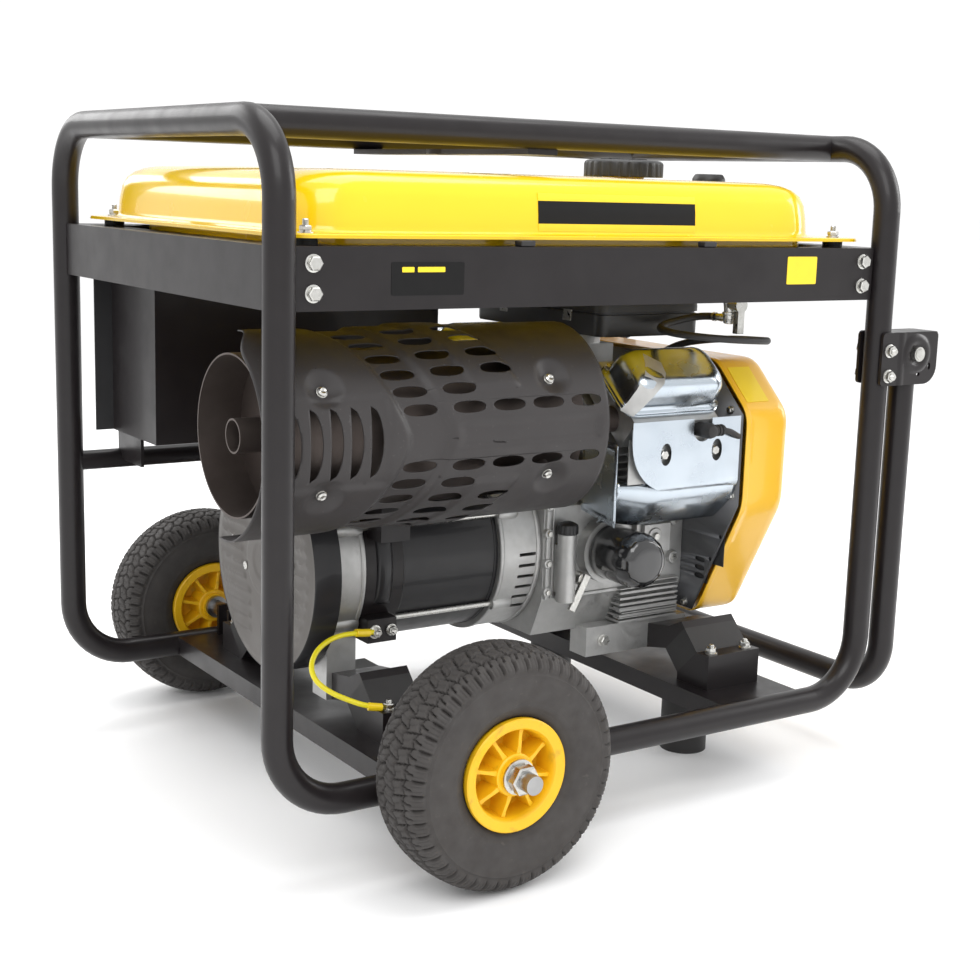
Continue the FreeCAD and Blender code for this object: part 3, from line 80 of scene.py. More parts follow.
def tube(name, points, radius, body, material, order=None):
    """A round tube along a path of points: straight runs, or one smooth NURBS line if an order is given."""
    curve = bpy.data.curves.new(name, "CURVE")
    curve.dimensions = "3D"
    curve.bevel_depth = radius
    curve.bevel_resolution = 6
    curve.use_fill_caps = True
    curve.resolution_u = 12
    spline = curve.splines.new("NURBS" if order else "POLY")
    spline.points.add(len(points) - 1)
    for point, place in zip(spline.points, points):
        point.co = (*place, 1)
    if order:
        spline.order_u = order
        spline.use_endpoint_u = True
    spline.use_smooth = True
    piece = bpy.data.objects.new(name, curve)
    bpy.context.scene.collection.objects.link(piece)
    curve.materials.append(material)
    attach(piece, body)
    return piece


def thicken(piece, thick):
    """Give an open sheet its thickness, in millimetres."""
    skin = piece.modifiers.new("Thickness", "SOLIDIFY")
    skin.thickness = thick * MM
    return skin


# ---------------------------------------------------------------- material helpers
class Look:
    """A node material with short calls for what most finishes share."""

    def __init__(self, name, base, roughness, metallic=0.0, coat=0.0):
        self.material = bpy.data.materials.new(name)
        self.material.use_nodes = True
        self.nodes = self.material.node_tree.nodes
        self.links = self.material.node_tree.links
        self.shader = self.nodes["Principled BSDF"]
        for socket, value in (("Base Color", (*base, 1)), ("Roughness", roughness), ("Metallic", metallic),
                              ("Coat Weight", coat), ("Coat Roughness", 0.08)):
            self.shader.inputs[socket].default_value = value
        self.place = self.nodes.new("ShaderNodeTexCoord").outputs["Object"]
        self.normal = None

    def node(self, kind, inputs):
        """A node whose inputs are set to values or linked to the outputs of other nodes."""
        node = self.nodes.new("ShaderNode" + kind)
        if kind == "Mix":
            node.data_type = "RGBA"
        for socket, value in inputs.items():
            if isinstance(value, bpy.types.NodeSocket):
                self.links.new(value, node.inputs[socket])
            else:
                node.inputs[socket].default_value = value
        return node.outputs

    def noise(self, scale, detail=3.0, roughness=0.5, stretch=None):
        """A noise pattern in object space; its scale is in cells per metre."""
        place = self.place
        if stretch:
            place = self.node("Mapping", {"Scale": stretch, "Vector": place})["Vector"]
        return self.node("TexNoise", {"Scale": scale, "Detail": detail, "Roughness": roughness,
                                      "Vector": place})["Fac"]

    def cells(self, scale):
        """A Voronoi pattern in object space."""
        return self.node("TexVoronoi", {"Scale": scale, "Vector": self.place})["Distance"]

    def spread(self, value, low, high, to_low=0.0, to_high=1.0):
        """Map a pattern's range to another range."""
        return self.node("MapRange", {"From Min": low, "From Max": high, "To Min": to_low, "To Max": to_high,
                                      "Value": value})["Result"]

    def colour(self, under, colour, factor):
        """Lay a colour over another, or over an earlier colour output, by a pattern."""
        if isinstance(under, tuple):
            under = (*under, 1)
        mixed = self.node("Mix", {0: factor, 6: under, 7: (*colour, 1)})[2]
        self.links.new(mixed, self.shader.inputs["Base Color"])
        return mixed

    def rough(self, pattern, low, high):
        """Vary the roughness by a pattern."""
        self.links.new(self.spread(pattern, 0.3, 0.7, low, high), self.shader.inputs["Roughness"])

    def bump(self, height, strength, distance):
        """Add a bump; later bumps build on earlier ones."""
        below = {} if self.normal is None else {"Normal": self.normal}
        self.normal = self.node("Bump", {"Strength": strength, "Distance": distance, "Height": height,
                                         **below})["Normal"]
        self.links.new(self.normal, self.shader.inputs["Normal"])


# ---------------------------------------------------------------- materials
def finish(name, base, roughness, first, second, mottle, metallic=0.0, coat=0.0, coat_roughness=None,
           specular=None, specks=None, rough=None, bump=None):
    """A finish of two mottled colours, with optional specks of a third, uneven roughness and fine relief."""
    look = Look(name, base, roughness, metallic, coat)
    for socket, value in (("Coat Roughness", coat_roughness), ("Specular IOR Level", specular)):
        if value is not None:
            look.shader.inputs[socket].default_value = value
    under = look.colour(first, second, look.noise(*mottle))
    if specks:
        colour, pattern, low, high, most = specks
        look.colour(under, colour, look.spread(look.noise(*pattern), low, high, 0, most))
    if rough:
        look.rough(look.noise(*rough[0]), *rough[1:])
    if bump:
        pattern, strength, distance = bump
        look.bump(look.noise(*pattern) if isinstance(pattern, tuple) else look.cells(pattern), strength,
                  distance)
    return look.material


POWDER = finish("powder_coat_black", (0.01, 0.008, 0.0085), 0.34, (0.009, 0.0072, 0.0078),
                (0.013, 0.0105, 0.0112), (60, 4), coat=0.08, specular=0.3,
                specks=((0.12, 0.1, 0.095), (900, 2), 0.74, 0.8, 0.5), rough=((25, 3), 0.28, 0.42),
                bump=((1500, 2), 0.12, 0.0002))
YELLOW = finish("gloss_yellow_enamel", (0.86, 0.55, 0.004), 0.22, (0.85, 0.545, 0.004), (0.89, 0.58, 0.006),
                (9, 3), coat=0.7, coat_roughness=0.05, specular=0.3, rough=((30, 3), 0.18, 0.28),
                bump=((420, 2), 0.05, 0.0002))
HOUSING = finish("housing_yellow_enamel", (0.8, 0.45, 0.022), 0.32, (0.78, 0.435, 0.02), (0.83, 0.475, 0.028),
                 (14, 3), coat=0.4, rough=((40, 3), 0.28, 0.4), bump=((650, 2), 0.06, 0.0002))
RIM = finish("rim_yellow_plastic", (0.76, 0.4, 0.006), 0.42, (0.84, 0.5, 0.006), (0.74, 0.4, 0.006), (30, 4),
             specks=((0.2, 0.12, 0.03), (55, 5), 0.6, 0.8, 0.6), bump=((500, 2), 0.1, 0.0003))
ALUMINIUM = finish("cast_aluminium", (0.52, 0.52, 0.51), 0.48, (0.56, 0.56, 0.55), (0.4, 0.4, 0.395), (45, 5),
                   metallic=0.85, specks=((0.16, 0.15, 0.14), (22, 6, 0.65), 0.6, 0.78, 0.6),
                   rough=((120, 4), 0.4, 0.58), bump=((900, 4), 0.3, 0.0004))
ZINC = finish("bright_zinc_sheet", (0.66, 0.71, 0.76), 0.24, (0.46, 0.52, 0.58), (0.55, 0.6, 0.65), (26, 4),
              metallic=1.0, rough=((35, 4), 0.16, 0.3), bump=((14, 2), 0.1, 0.004))
BOLT = finish("zinc_plated_bolt", (0.62, 0.62, 0.6), 0.3, (0.66, 0.66, 0.64), (0.46, 0.45, 0.42), (160, 4),
              metallic=1.0, rough=((200, 3), 0.22, 0.42))
STEEL = finish("machined_steel", (0.42, 0.42, 0.42), 0.35, (0.45, 0.45, 0.45), (0.3, 0.3, 0.3), (60, 4),
               metallic=1.0, bump=((900, 2, 0.5, (1, 0.03, 1)), 0.15, 0.0002))
IRON = finish("cast_iron", (0.09, 0.09, 0.09), 0.6, (0.1, 0.1, 0.1), (0.06, 0.055, 0.05), (60, 4), metallic=0.7,
              bump=((700, 4), 0.4, 0.0005))
END_COVER = finish("end_cover_grey_brown", (0.1, 0.092, 0.085), 0.5, (0.105, 0.096, 0.088),
                   (0.082, 0.075, 0.069), (14, 4), specks=((0.17, 0.155, 0.14), (300, 3), 0.66, 0.8, 0.4),
                   rough=((26, 3), 0.42, 0.58), bump=((1200, 2), 0.14, 0.0003))
SHIELD = finish("heat_shield_paint", (0.038, 0.034, 0.034), 0.46, (0.04, 0.036, 0.036), (0.031, 0.028, 0.028),
                (18, 4), specular=0.35, specks=((0.1, 0.09, 0.088), (240, 3), 0.66, 0.8, 0.5),
                rough=((30, 3), 0.4, 0.58), bump=((1300, 2), 0.15, 0.0003))
MUFFLER = finish("heat_dulled_steel", (0.12, 0.1, 0.095), 0.5, (0.13, 0.11, 0.1), (0.06, 0.045, 0.04), (20, 5),
                 metallic=0.8, bump=((400, 4), 0.2, 0.0004))
STATOR = finish("stator_semi_gloss_black", (0.014, 0.014, 0.016), 0.36, (0.012, 0.012, 0.014),
                (0.022, 0.021, 0.022), (18, 4), coat=0.2, specular=0.3, rough=((50, 3), 0.32, 0.46),
                bump=((1100, 2), 0.12, 0.0003))
FILTER = finish("filter_gloss_black", (0.01, 0.01, 0.011), 0.16, (0.01, 0.01, 0.011), (0.018, 0.018, 0.019),
                (50, 3), coat=0.8, bump=((300, 2), 0.05, 0.0003))
TYRE = finish("tyre_rubber", (0.04, 0.036, 0.034), 0.72, (0.046, 0.041, 0.038), (0.03, 0.027, 0.026), (40, 5),
              specks=((0.13, 0.115, 0.1), (90, 6, 0.7), 0.62, 0.82, 0.55), rough=((60, 3), 0.62, 0.86),
              bump=((1200, 4), 0.25, 0.0005))
RUBBER = finish("black_rubber", (0.018, 0.017, 0.017), 0.58, (0.02, 0.019, 0.019), (0.012, 0.011, 0.011),
                (60, 4), bump=((1200, 3), 0.2, 0.0004))
PLASTIC = finish("black_plastic", (0.016, 0.016, 0.017), 0.42, (0.018, 0.018, 0.019), (0.012, 0.012, 0.013),
                 (70, 3), bump=(1800, 0.15, 0.0003))
GREY = finish("plate_grey", (0.115, 0.118, 0.125), 0.42, (0.12, 0.123, 0.13), (0.09, 0.092, 0.098), (40, 4),
              metallic=0.3, bump=((900, 2), 0.1, 0.0003))
RED = finish("red_plastic", (0.42, 0.012, 0.01), 0.32, (0.44, 0.012, 0.01), (0.34, 0.01, 0.01), (80, 3),
             coat=0.2)
LEAD = finish("yellow_pvc", (0.8, 0.7, 0.01), 0.38, (0.82, 0.72, 0.01), (0.74, 0.62, 0.012), (120, 3),
              bump=((900, 2), 0.1, 0.0002))
DIAL = finish("dial_white", (0.72, 0.72, 0.7), 0.35, (0.74, 0.74, 0.72), (0.66, 0.66, 0.63), (200, 3))
BLACK_LABEL = finish("label_black", (0.004, 0.004, 0.0045), 0.5, (0.004, 0.004, 0.0045),
                     (0.007, 0.0065, 0.0065), (80, 3), specular=0.2)
YELLOW_LABEL = finish("label_yellow", (0.85, 0.62, 0.01), 0.36, (0.87, 0.64, 0.01), (0.8, 0.56, 0.012), (60, 3),
                      coat=0.3)

SLOT_LOOKS = {
    "frame_black": POWDER, "tank_yellow": YELLOW, "housing_yellow": HOUSING, "plate_grey": GREY,
    "shield_brown": SHIELD, "muffler_steel": MUFFLER, "cast_aluminium": ALUMINIUM, "zinc_sheet": ZINC,
    "zinc_bolt": BOLT, "machined_steel": STEEL, "cast_iron": IRON, "stator_black": STATOR,
    "filter_black": FILTER, "tyre": TYRE, "rubber": RUBBER, "rim_yellow": RIM, "black_plastic": PLASTIC,
    "red_plastic": RED, "lead_yellow": LEAD,
}
for part in frame["record"]["subparts"]:
    mesh = frame["nodes"][part["node"]].data
    mesh.materials.clear()
    mesh.materials.append(SLOT_LOOKS[part["material_slot"]])


# ---------------------------------------------------------------- places and mesh building
MIDDLE_X = 441
CRANK_Z = 275
LEAN = 41
NEAR, FAR = -1, 1
SIDE_NAMES = {NEAR: "near", FAR: "far"}
AXES = {"x": 0, "y": 1, "z": 2}


def at(x, y, z):
    """A place in millimetres from the wheel-end uprights, as a point of the row frame."""
    return Vector(((x - MIDDLE_X) * MM, y * MM, z * MM))


def placed(route):
    """Turn a route in millimetres from the wheel-end uprights into the row frame."""
    return [((x - MIDDLE_X) * MM, y * MM, z * MM) for x, y, z in route]


def leaned(side):
    """The turn that lays an upright cylinder over to its own side of the crankshaft."""
    lift = Matrix.Translation((0, 0, CRANK_Z))
    return lift @ Matrix.Rotation(radians(-LEAN * side), 4, "X")


def smooth_step(low, high, value):
    """Rise smoothly from 0 to 1 between two values."""
    share = min(max((value - low) / (high - low), 0.0), 1.0)
    return share * share * (3 - 2 * share)


class Build:
    """A mesh in the making, in millimetres."""

    def __init__(self, turn=None):
        self.bm = bmesh.new()
        self.turn = turn or Matrix()

    def vert(self, point):
        """A vertex at a place in millimetres."""
        return self.bm.verts.new(at(*(self.turn @ Vector(point))))

    def loft(self, rings, closed=True, cap_start=False, cap_end=False):
        """Skin a list of rings that have the same number of points."""
        rows = [[self.vert(point) for point in ring] for ring in rings]
        count = len(rows[0])
        for low, high in zip(rows, rows[1:]):
            for here in range(count if closed else count - 1):
                there = (here + 1) % count
                self.bm.faces.new((low[here], low[there], high[there], high[here]))
        if cap_start:
            self.bm.faces.new(rows[0])
        if cap_end:
            self.bm.faces.new(list(reversed(rows[-1])))
        return self

    def solid(self, rings):
        """Skin a list of rings and close both ends."""
        return self.loft(rings, cap_start=True, cap_end=True)

    def lathe(self, axis, centre, profile, segments=48, closed=False, phase=0.0):
        """Turn a profile of (along, radius) about an axis through a centre."""
        others = [index for index in range(3) if index != AXES[axis]]
        rings = []
        for along, radius in profile + (profile[:1] if closed else []):
            ring = []
            for number in range(segments):
                angle = 2 * pi * (number + phase) / segments
                point = [0, 0, 0]
                point[AXES[axis]] = along
                point[others[0]] = centre[0] + radius * cos(angle)
                point[others[1]] = centre[1] + radius * sin(angle)
                ring.append(point)
            rings.append(ring)
        return self.loft(rings, cap_start=not closed, cap_end=not closed)

    def box(self, x0, x1, y0, y1, z0, z1):
        """A plain block, to be rounded by a bevel."""
        ring = [(x0, y0), (x1, y0), (x1, y1), (x0, y1)]
        return self.solid([[(x, y, z) for x, y in ring] for z in (z0, z1)])

    def bolt(self, axis, place, way, size=8, stud=0.5, washer=True):
        """A washer, a chamfered hexagon head and a threaded end, standing on a face."""
        index = AXES[axis]
        centre = [place[other] for other in range(3) if other != index]
        foot = place[index]

        def out(profile):
            return [(foot + way * along, radius) for along, radius in profile]
        if washer:
            self.lathe(axis, centre, out([(0, size * 1.08), (1.2, size * 1.08), (1.5, size * 1.0)]), 28)
            self.lathe(axis, centre, out([(1.5, size * 0.82), (2.9, size * 0.82)]), 24)
        base = 2.9 if washer else 0
        top = base + size * 0.62
        self.lathe(axis, centre, out([(base, size * 0.80), (base + 0.4, size * 0.92), (top - 1.0, size * 0.92),
                                      (top, size * 0.78)]), 6, phase=(place[0] * 7 % 6) / 6)
        if stud:
            turns = [(top - 0.2, size * 0.46)]
            for step in range(int(size * stud / 0.9)):
                turns += [(top + 0.9 * step, size * 0.48), (top + 0.9 * step + 0.45, size * 0.42)]
            turns.append((turns[-1][0] + 0.6, size * 0.34))
            self.lathe(axis, centre, out(turns), 20)
        return self

    def piece(self, name, material, angle=35, round_edges=None, replaces=(), body="machine"):
        """Finish the mesh as a piece on a body."""
        done = from_bmesh(name, self.bm, body, material, angle)
        if round_edges:
            bevel(done, round_edges * MM)
        if replaces:
            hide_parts(*replaces)
        return done


def rounded(half_x, half_y, corner, middle=(0, 0), steps=8):
    """The points of a rectangle with round corners, anticlockwise."""
    corner = min(corner, half_x - 0.01, half_y - 0.01)
    points = []
    for turn, (sx, sy) in enumerate(((1, 1), (-1, 1), (-1, -1), (1, -1))):
        for step in range(steps + 1):
            angle = radians(90 * turn + 90 * step / steps)
            points.append((middle[0] + sx * (half_x - corner) + corner * cos(angle),
                           middle[1] + sy * (half_y - corner) + corner * sin(angle)))
    return points


def arc(middle, half_u, steps, begin=0, end=360, half_v=None):
    """Points along part of a circle or ellipse, from one angle in degrees to another, the last one left out."""
    angles = [radians(begin + (end - begin) * number / steps) for number in range(steps)]
    half_v = half_v or half_u
    return [(middle[0] + half_u * cos(angle), middle[1] + half_v * sin(angle)) for angle in angles]


def oval(middle, half_u, half_v, power=2.3, count=24):
    """A slot with full ends."""
    points = []
    for number in range(count):
        angle = 2 * pi * number / count
        cosine, sine = cos(angle), sin(angle)
        points.append((middle[0] + half_u * copysign(abs(cosine) ** (2 / power), cosine),
                       middle[1] + half_v * copysign(abs(sine) ** (2 / power), sine)))
    return points


def pierced(name, outline, holes, place, body, material, thick, step=None, angle=35):
    """A flat sheet with holes, cut into small faces, then bent by a function of its two sizes."""
    curve = bpy.data.curves.new(name, "CURVE")
    curve.dimensions = "2D"
    curve.fill_mode = "BOTH"
    for loop in [outline] + holes:
        spline = curve.splines.new("POLY")
        spline.points.add(len(loop) - 1)
        for point, (u, v) in zip(spline.points, loop):
            point.co = (u, v, 0, 1)
        spline.use_cyclic_u = True
    holder = bpy.data.objects.new(name + "_flat", curve)
    mesh = bpy.data.meshes.new_from_object(holder)
    bpy.data.objects.remove(holder)
    bpy.data.curves.remove(curve)
    bm = bmesh.new()
    bm.from_mesh(mesh)
    bmesh.ops.remove_doubles(bm, verts=bm.verts, dist=0.001)
    if step:
        for index, size in enumerate(step):
            low = min(point[index] for point in outline)
            high = max(point[index] for point in outline)
            count = max(int((high - low) / size), 1)
            normal = [0, 0, 0]
            normal[index] = 1
            for number in range(1, count):
                spot = [0, 0, 0]
                spot[index] = low + (high - low) * number / count
                bmesh.ops.bisect_plane(bm, geom=bm.verts[:] + bm.edges[:] + bm.faces[:],
                                       plane_co=spot, plane_no=normal)
    for vert in bm.verts:
        vert.co = at(*place(vert.co.x, vert.co.y))
    bm.to_mesh(mesh)
    bm.free()
    mesh.name = name
    mesh.materials.clear()
    piece = link(name, mesh, body, material, angle)
    thicken(piece, thick).offset = 0
    return piece


# ---------------------------------------------------------------- wheels
WHEEL_X, WHEEL_Y, WHEEL_Z = 214, 372.5, 130
TYRE_SECTION = [(0, 125.9), (10, 125.5), (20, 124.4), (28, 122.4), (34, 119), (38, 114.5), (40.6, 108),
                (42, 100),
                (42.2, 92), (41.4, 84), (39.4, 76), (36.5, 69), (33.5, 64), (31, 60.8), (27, 58)]
BLOCKS, STEPS_PER_BLOCK = 50, 12


def section_points():
    """Points along half the tyre's section: distance from the crown, place and outward normal."""
    fine = []
    for number in range(len(TYRE_SECTION) - 1):
        before = TYRE_SECTION[max(number - 1, 0)]
        first, second = TYRE_SECTION[number], TYRE_SECTION[number + 1]
        after = TYRE_SECTION[min(number + 2, len(TYRE_SECTION) - 1)]
        for step in range(8):
            t = step / 8
            fine.append(tuple(0.5 * (2 * b + (c - a) * t + (2 * a - 5 * b + 4 * c - d) * t * t
                                     + (3 * b - a - 3 * c + d) * t ** 3)
                              for a, b, c, d in zip(before, first, second, after)))
    fine.append(TYRE_SECTION[-1])
    points, run, due = [], 0.0, 0.0
    for here, there in zip(fine, fine[1:]):
        length = dist(here, there)
        if run >= due:
            normal = ((here[1] - there[1]) / length, (there[0] - here[0]) / length)
            points.append((run, here, normal))
            due += 1.5 if run < 50 else 2.6
        run += length
    return points


def zigzag(value):
    """A triangle wave between -1 and 1."""
    return 4 * abs(value - floor(value + 0.5)) - 1


def tread(around, across):
    """Height of the tyre's blocks at a place on the tread, in millimetres."""
    pitch = 2 * pi * 130 / BLOCKS
    reach = abs(across)
    if reach > 49:
        return 0.0
    bent = across + 2.6 * zigzag(around / pitch)
    row = floor((bent + 40) / 16)
    if reach < 33:
        rib = abs(bent + 40 - 16 * round((bent + 40) / 16))
        slant = around + (0.5 * pitch if row % 2 else 0) + (0.3 if row % 2 else -0.3) * bent
        gap = abs(slant - pitch * round(slant / pitch))
        sipe = abs(slant + pitch / 2 - pitch * round((slant + pitch / 2) / pitch))
        height = 3.5 * smooth_step(0.5, 1.7, rib) * smooth_step(0.5, 1.6, gap)
        return height - 1.1 * (1 - smooth_step(0.3, 1.0, sipe)) * smooth_step(1.5, 3, rib)
    gap = abs(around - pitch * round(around / pitch))
    fine = abs(around - pitch / 3 * round(around * 3 / pitch))
    height = 3.3 * smooth_step(0.7, 2.0, gap) * (1 - smooth_step(43, 48, reach))
    return height - 0.8 * (1 - smooth_step(0.3, 0.9, fine)) * (1 - smooth_step(42, 46, reach))


def tyre(side, body, node):
    """The tyre's skin with its moulded blocks and two fine rings on each side wall."""
    half = section_points()
    mirrored = [(-run, (-spot[0], spot[1]), (-normal[0], normal[1])) for run, spot,
                normal in reversed(half[1:])]
    count = BLOCKS * STEPS_PER_BLOCK
    build = Build()
    rings = []
    for run, (across, radius), normal in mirrored + half:
        ring = []
        for number in range(count):
            angle = 2 * pi * number / count
            lift = tread(angle * 130, run)
            if abs(run) > 49:
                lift = 0.9 * (1 - smooth_step(0.4, 1.6, abs(radius - 106)))
                lift += 0.8 * (1 - smooth_step(0.6, 2.2, abs(radius - 73)))
            far_out = radius + normal[1] * lift
            ring.append((WHEEL_X + far_out * cos(angle), side * (WHEEL_Y + across + normal[0] * lift),
                         WHEEL_Z + far_out * sin(angle)))
        rings.append(ring)
    build.loft(rings)
    build.piece(body + "_tyre_skin", TYRE, 50, replaces=(node,), body=body)


def rim(side, body, node):
    """The moulded rim: lips, barrel, web and hub in one turned skin, with eight ribs on each face."""
    half = [(38, 60.4), (39, 59.2), (38.6, 57.5), (37, 49.5), (34.5, 47.4), (28, 46.4), (9, 44.6), (7, 42.5),
            (6.5, 29),
            (7.5, 25.2), (10, 24), (35, 22.6), (36.5, 21.2), (36.5, 17.5), (40, 17), (40, 10.4)]
    loop = half + [(-a, r) for a, r in reversed(half)] + [(-33, 60.4), (-31, 57.5), (31, 57.5), (33, 60.4)]
    Build().lathe("y", (WHEEL_X, WHEEL_Z), [(side * (WHEEL_Y + a), r) for a, r in loop], 96, closed=True).piece(
        body + "_rim_skin", RIM, 32, replaces=(node,), body=body)
    ribs = Build()
    for number in range(8):
        spin = Matrix.Translation((WHEEL_X, 0, WHEEL_Z)) @ Matrix.Rotation(radians(45 * number + 12), 4, "Y")
        ribs.turn = spin
        for way in (-1, 1):
            rings = []
            for r, low, high, thick in ((21, 5, 34, 4.2), (30, 5, 33, 3.0), (40, 5, 30.5, 2.9),
                                        (46.8, 5, 30, 3.8)):
                y0, y1 = side * WHEEL_Y + way * low, side * WHEEL_Y + way * high
                rings.append([(r, y0, -thick), (r, y1, -thick * 0.72), (r, y1, thick * 0.72), (r, y0, thick)])
            ribs.solid(rings)
    ribs.piece(body + "_rim_ribs", RIM, round_edges=0.9, body=body)


for side, prefix in SIDE_NAMES.items():
    tyre(side, prefix + "_wheel", prefix + "_tyre")
    rim(side, prefix + "_wheel", prefix + "_rim")


# ---------------------------------------------------------------- bolts and other small steel
def fasteners():
    """Hexagon bolts, nuts and studs in place of the plain ones."""
    build = Build()
    for side in (NEAR, FAR):
        for x in (36, 776):
            for z in (640, 611):
                build.bolt("y", (x, 298 * side, z), side, 8.2, stud=0)
        for z in (533, 502):
            for way in (-1, 1):
                build.bolt("y", (812, 298 * side + 20.8 * way, z), way, 7.6, stud=0.5 if way == side else 0)
        for x in (48, 764):
            build.bolt("z", (x, 258 * side, 667), 1, 7.4, stud=0.9)
        for y, xs, z in ((226, (634, 690), 151), (200, (185, 219), 143)):
            for x in xs:
                build.bolt("z", (x, y * side, z), 1, 7.4, stud=0.6)
        for segments, profile in (
                (48, ((0, 10), (0, 18.6), (2.4, 18.6), (2.9, 17.6), (2.9, 10))),
                (32, ((3, 10), (3, 12.6), (5.4, 13.4), (5.4, 10))),
                (6, ((5.4, 10), (5.4, 14.6), (6.2, 16.4), (15, 16.4), (16.4, 14.2), (16.4, 10)))):
            build.lathe("y", (WHEEL_X, WHEEL_Z), [((412.5 + along) * side, radius) for along,
                                                  radius in profile],
                        segments, closed=True)
    build.piece("hexagon_bolts", BOLT, 30, replaces=("fasteners",))


def axle_threads():
    """The threaded ends of the stub axles, over the plain bar."""
    build = Build()
    for side in (NEAR, FAR):
        turns = [(428.8 * side, 9.0)]
        for step in range(8):
            turns += [((429.2 + 1.5 * step) * side, 10.15), ((429.95 + 1.5 * step) * side, 10.02)]
        build.lathe("y", (WHEEL_X, WHEEL_Z), turns + [(441 * side, 9.6)], 40)
    build.piece("axle_threads", STEEL, 60)


fasteners()
axle_threads()


# ---------------------------------------------------------------- muffler shield
SHIELD_Y, SHIELD_Z, SHIELD_RAD = -168, 456, 109
SHIELD_START, SHIELD_END = -5, 418
DIMPLES = [(70, 32), (70, -31), (350, 33), (350, -30)]
ROWS = (16.5, 27.5, 38.5, 50, 62, 74)


def first_bend(degrees):
    """How far along the shield its first V-shaped step lies."""
    return 162 - 0.82 * (sqrt((degrees - 1) ** 2 + 16) - 4)


def relief(x, degrees):
    """How far the pressed sheet stands off its own cylinder."""
    arc = radians(degrees) * SHIELD_RAD
    lift = 0.0
    for dimple_x, dimple_degrees in DIMPLES:
        away = hypot(x - dimple_x, arc - radians(dimple_degrees) * SHIELD_RAD) / 24
        if away < 1:
            lift -= 9.5 * (1 - away * away) ** 1.6
    step_one = first_bend(degrees)
    step_two = step_one + 51
    lift -= 4.2 * smooth_step(step_one - 5, step_one + 4, x) * (1 - smooth_step(step_two - 4, step_two + 6, x))
    if abs(degrees) < 80:
        band = 1 - smooth_step(4.5, 8.5, abs(degrees - 1.5))
        lift -= 3.0 * band * smooth_step(step_two + 4, step_two + 20, x) * (1 - smooth_step(400, 412, x))
    pad = smooth_step(step_two + 46, step_two + 56, x) * (1 - smooth_step(step_two + 104, step_two + 114, x))
    reach = abs(degrees - 1)
    lift += 2.8 * pad * smooth_step(24, 29, reach)
    left_pad = smooth_step(14, 20, x) * (1 - smooth_step(134, 142, x)) * (1 - smooth_step(23, 27, reach))
    lift -= 2.0 * left_pad
    return lift


def shield():
    """The rolled sheet with its chevron of slots, five crescents and four pressed dimples."""
    deg = radians(1) * SHIELD_RAD
    holes = []
    for number, row in enumerate(ROWS):
        for sign in (1, -1):
            degrees = 1 + sign * row
            along = first_bend(degrees) + 26
            spots = [along, along + 58]
            if number >= 2:
                spots.append(along + 58 + 61)
            if number == 0:
                spots += [286, 337, 388]
            for x in spots:
                holes.append(oval((x, degrees * deg), 20.5, 6.6))
    for x in (30, 54, 77, 100, 123):
        loop = []
        for step in range(17):
            t = -1 + step / 8
            loop.append((x - 5 + 12.5 * sqrt(max(1 - t * t, 0)) ** 0.9, (1 + 20.5 * t) * deg))
        for step in range(1, 16):
            t = 1 - step / 8
            loop.append((x - 5 - 1.6 * (1 - t * t), (1 + 20.5 * t) * deg))
        holes.append(loop)
    low, high = -95 * deg, 95 * deg
    outline = [(SHIELD_START, low), (SHIELD_END, low), (SHIELD_END, high), (SHIELD_START, high)]

    def place(u, v):
        degrees = v / deg
        radius = SHIELD_RAD - 0.8 + relief(u, degrees)
        angle = radians(degrees)
        edge = 27 * smooth_step(55, 92, degrees) + 6 * smooth_step(60, 92, -degrees)
        u += edge * (1 - smooth_step(SHIELD_START, 60, u))
        return u, SHIELD_Y - radius * cos(angle), SHIELD_Z + radius * sin(angle)
    skin = pierced("shield_sheet", outline, holes, place, "machine", SHIELD, 1.5, (3.2, 3.0), 60)
    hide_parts("muffler_shield")
    screws = Build()
    posts = Build()
    for x, degrees in DIMPLES:
        angle = radians(degrees)
        outward = Vector((0, -cos(angle), sin(angle)))
        along, sideways = Vector((1, 0, 0)), outward.cross(Vector((1, 0, 0)))
        for build, profile in ((screws, [(-7, 7), (-5.6, 7), (-5.4, 5.2), (-2.6, 5.2), (-1.2, 3.2),
                                         (-2.0, 1.5)]),
                               (posts, [(-26, 9), (-9.8, 8)])):
            rings = []
            for rise, radius in profile:
                foot = Vector((x, SHIELD_Y, SHIELD_Z)) + outward * (SHIELD_RAD + rise - 3)
                turns = [2 * pi * n / 24 for n in range(24)]
                rings.append([foot + along * radius * cos(turn) + sideways * radius * sin(turn)
                              for turn in turns])
            build.solid(rings)
    screws.piece("shield_screws", BOLT)
    posts.piece("shield_stand_offs", MUFFLER)


shield()


# ---------------------------------------------------------------- fuel tank
TANK_LOW, TANK_HIGH = 667, 731
TANK_MID_X, TANK_HALF_X, TANK_HALF_Y = 393, 357, 262
CAP_X, CAP_Y = 594, -58
GAUGE_X, GAUGE_Y = 709, -88


def tank_top_height(x, y):
    """Height of the tank's pressed top: a crowned sheet with two raised panels."""
    crown = 1.8 * (1 - ((x - TANK_MID_X) / TANK_HALF_X) ** 2) * (1 - (y / TANK_HALF_Y) ** 2)
    panels = 0.0
    for x0, x1, y0, y1 in ((96, 300, -196, 196), (328, 500, -196, 196), (528, 690, 20, 196)):
        inside = (smooth_step(x0, x0 + 12, x) * (1 - smooth_step(x1 - 12, x1, x))
                  * smooth_step(y0, y0 + 12, y) * (1 - smooth_step(y1 - 12, y1, y)))
        panels = max(panels, inside)
    well = 2.5 * (1 - smooth_step(56, 66, hypot(x - CAP_X, y - CAP_Y)))
    return TANK_HIGH - 3.6 + crown * 0.6 + 2.6 * panels - well


